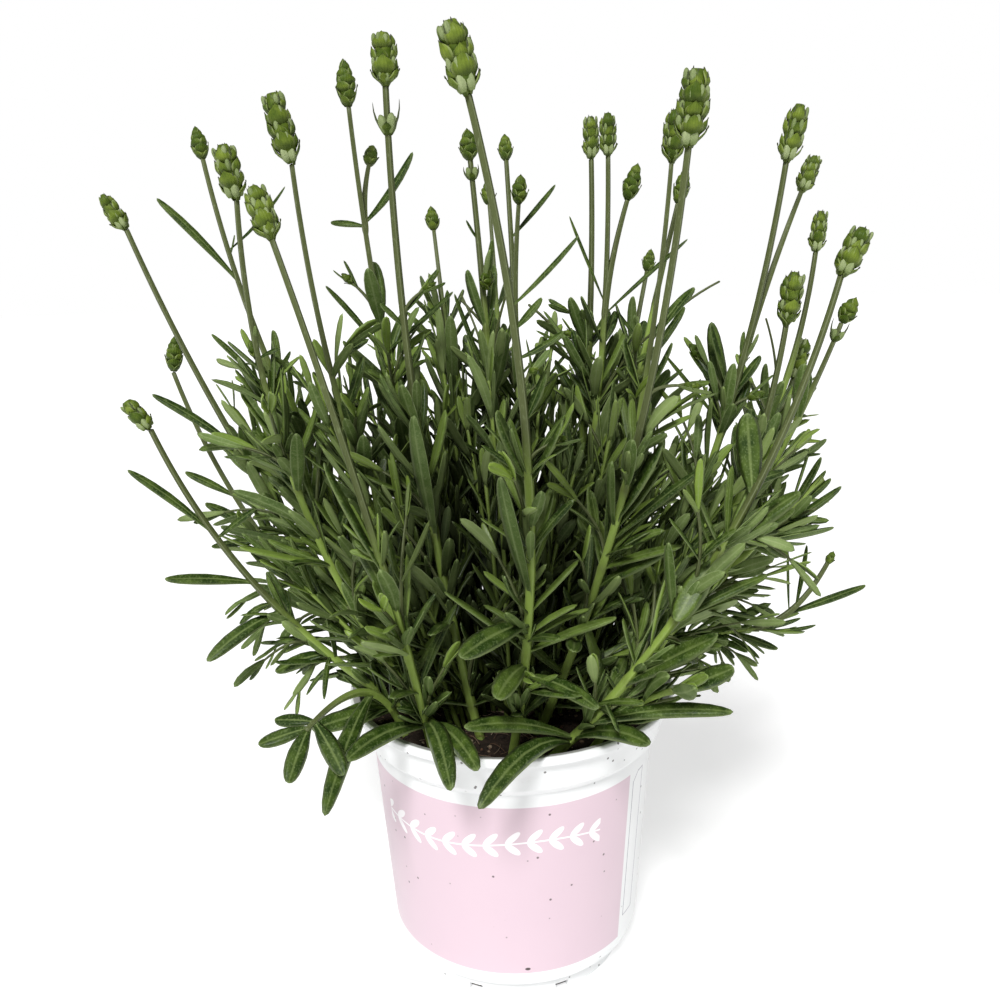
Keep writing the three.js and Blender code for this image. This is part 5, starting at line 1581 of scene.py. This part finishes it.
def add_filler(filler, heap, r):
    """Adds an inner shoot with its pairs and tufts of leaves to a shoot's heap."""
    leaves = lay_all(filler, short_leaves(filler, r, first=0.06), r, filler.number, youth=0.5)
    tufts = [tuft_leaf(FILLER_TUFT, share, 0, r) for share in np.linspace(0.1, 0.95, 11)]
    leaves += lay_all(filler, tufts, r, filler.number)
    add_blades(heap, leaves, SMALL_STATIONS, r)
    heap.add(*stem_tube(filler, []))


# Materials, pot and soil
upper = leaf_finish("leaf_upper", (0.018, 0.04, 0.004), (0.18, 0.268, 0.046), (0.25, 0.32, 0.11),
                    (0.28, 0.36, 0.14), 0.42, 0.6, 0.28)
under = leaf_finish("leaf_under", (0.08, 0.135, 0.026), (0.24, 0.32, 0.105), (0.32, 0.39, 0.17),
                    (0.29, 0.36, 0.16), 0.55, 0.5, 0.38)
leafy_finishes = [upper, under, stem_finish()]
head_finishes = [bract_finish(), calyx_finish(), tooth_finish()]

make_pot(pot_finish())
make_soil([soil_finish(), crumb_finish()], np.random.default_rng(SOIL_SEED))

# All stems first, so that extra leaves can keep clear of them
crowd = Crowd()
plants, number = [], 0
for shoot in SHOOTS:
    stems, parent = [], None
    for row in shoot["stems"]:
        number += 1
        stem = Stem(row, number, shoot["root"], parent)
        parent = stem if "knee" in row else parent
        stems.append(stem)
        crowd.add(stem.frame(np.linspace(0, 1, 40))[0], number)
    plants.append(stems)

# Each shoot is one piece, and an inner shoot belongs to the shoot whose root is nearest
fillers = inner_shoots(np.random.default_rng(FILLER_SEED), FILLERS)
roots = np.array([shoot["root"] for shoot in SHOOTS], float)
homes = [int(np.argmin(np.linalg.norm(roots - filler.control[0][:2], axis=1))) for filler in fillers]
for index, stems in enumerate(plants):
    node = f"shoot_{index + 1:02d}"
    corners = np.array([v.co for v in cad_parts[node].data.vertices]) / MM
    heap = Heap()
    r = np.random.default_rng(SHOOT_SEED + index)
    for stem in stems:
        add_stem(stem, corners, heap, r)
    for filler, home in zip(fillers, homes):
        if home == index:
            add_filler(filler, heap, r)
    heap.piece(f"leafy_{node}", leafy_finishes + head_finishes, "foliage", node)

# Floor, light and camera
bpy.ops.mesh.primitive_circle_add(vertices=128, radius=6.0, fill_type="NGON", location=(0, 0, 0))
floor = bpy.context.object
floor.name = "floor"
pale = Finish("floor", 0.8, Emission_Strength=0.55)
pale.shader.inputs["Base Color"].default_value = (0.6, 0.6, 0.6, 1)
pale.shader.inputs["Emission Color"].default_value = (1, 1, 1, 1)
floor.data.materials.append(pale.material)

world = bpy.data.worlds.new("studio")
bpy.context.scene.world = world
world.use_nodes = True
background = world.node_tree.nodes["Background"]
background.inputs["Color"].default_value = (1, 1, 1, 1)
# The camera sees it white, and it lights the plant with a part of that
seen = world.node_tree.nodes.new("ShaderNodeLightPath")
bright = world.node_tree.nodes.new("ShaderNodeMapRange")
bright.inputs["To Min"].default_value = 0.3
bright.inputs["To Max"].default_value = 1.0
world.node_tree.links.new(seen.outputs["Is Camera Ray"], bright.inputs["Value"])
world.node_tree.links.new(bright.outputs["Result"], background.inputs["Strength"])


def sun(name, place, power, spread):
    """A sun that shines from a place towards the origin. Its spread in degrees softens the shadows."""
    data = bpy.data.lights.new(name, "SUN")
    data.energy, data.angle = power, math.radians(spread)
    lamp = bpy.data.objects.new(name, data)
    lamp.rotation_euler = (-Vector(place)).to_track_quat("-Z", "Y").to_euler()
    bpy.context.scene.collection.objects.link(lamp)


sun("key", (-0.2, -0.84, 1.0), 3.2, 14)

camera_data = bpy.data.cameras.new("camera")
camera_data.lens, camera_data.sensor_width, camera_data.clip_start = CAMERA_LENS, 36.0, 0.01
camera = bpy.data.objects.new("camera", camera_data)
rows = Matrix((CAMERA_RIGHT, CAMERA_UP, tuple(-c for c in CAMERA_FORWARD)))
camera.matrix_world = Matrix.Translation(Vector(CAMERA_PLACE) * MM) @ rows.transposed().to_4x4()
bpy.context.scene.collection.objects.link(camera)
bpy.context.scene.camera = camera
bpy.context.scene.view_settings.view_transform = "Standard"
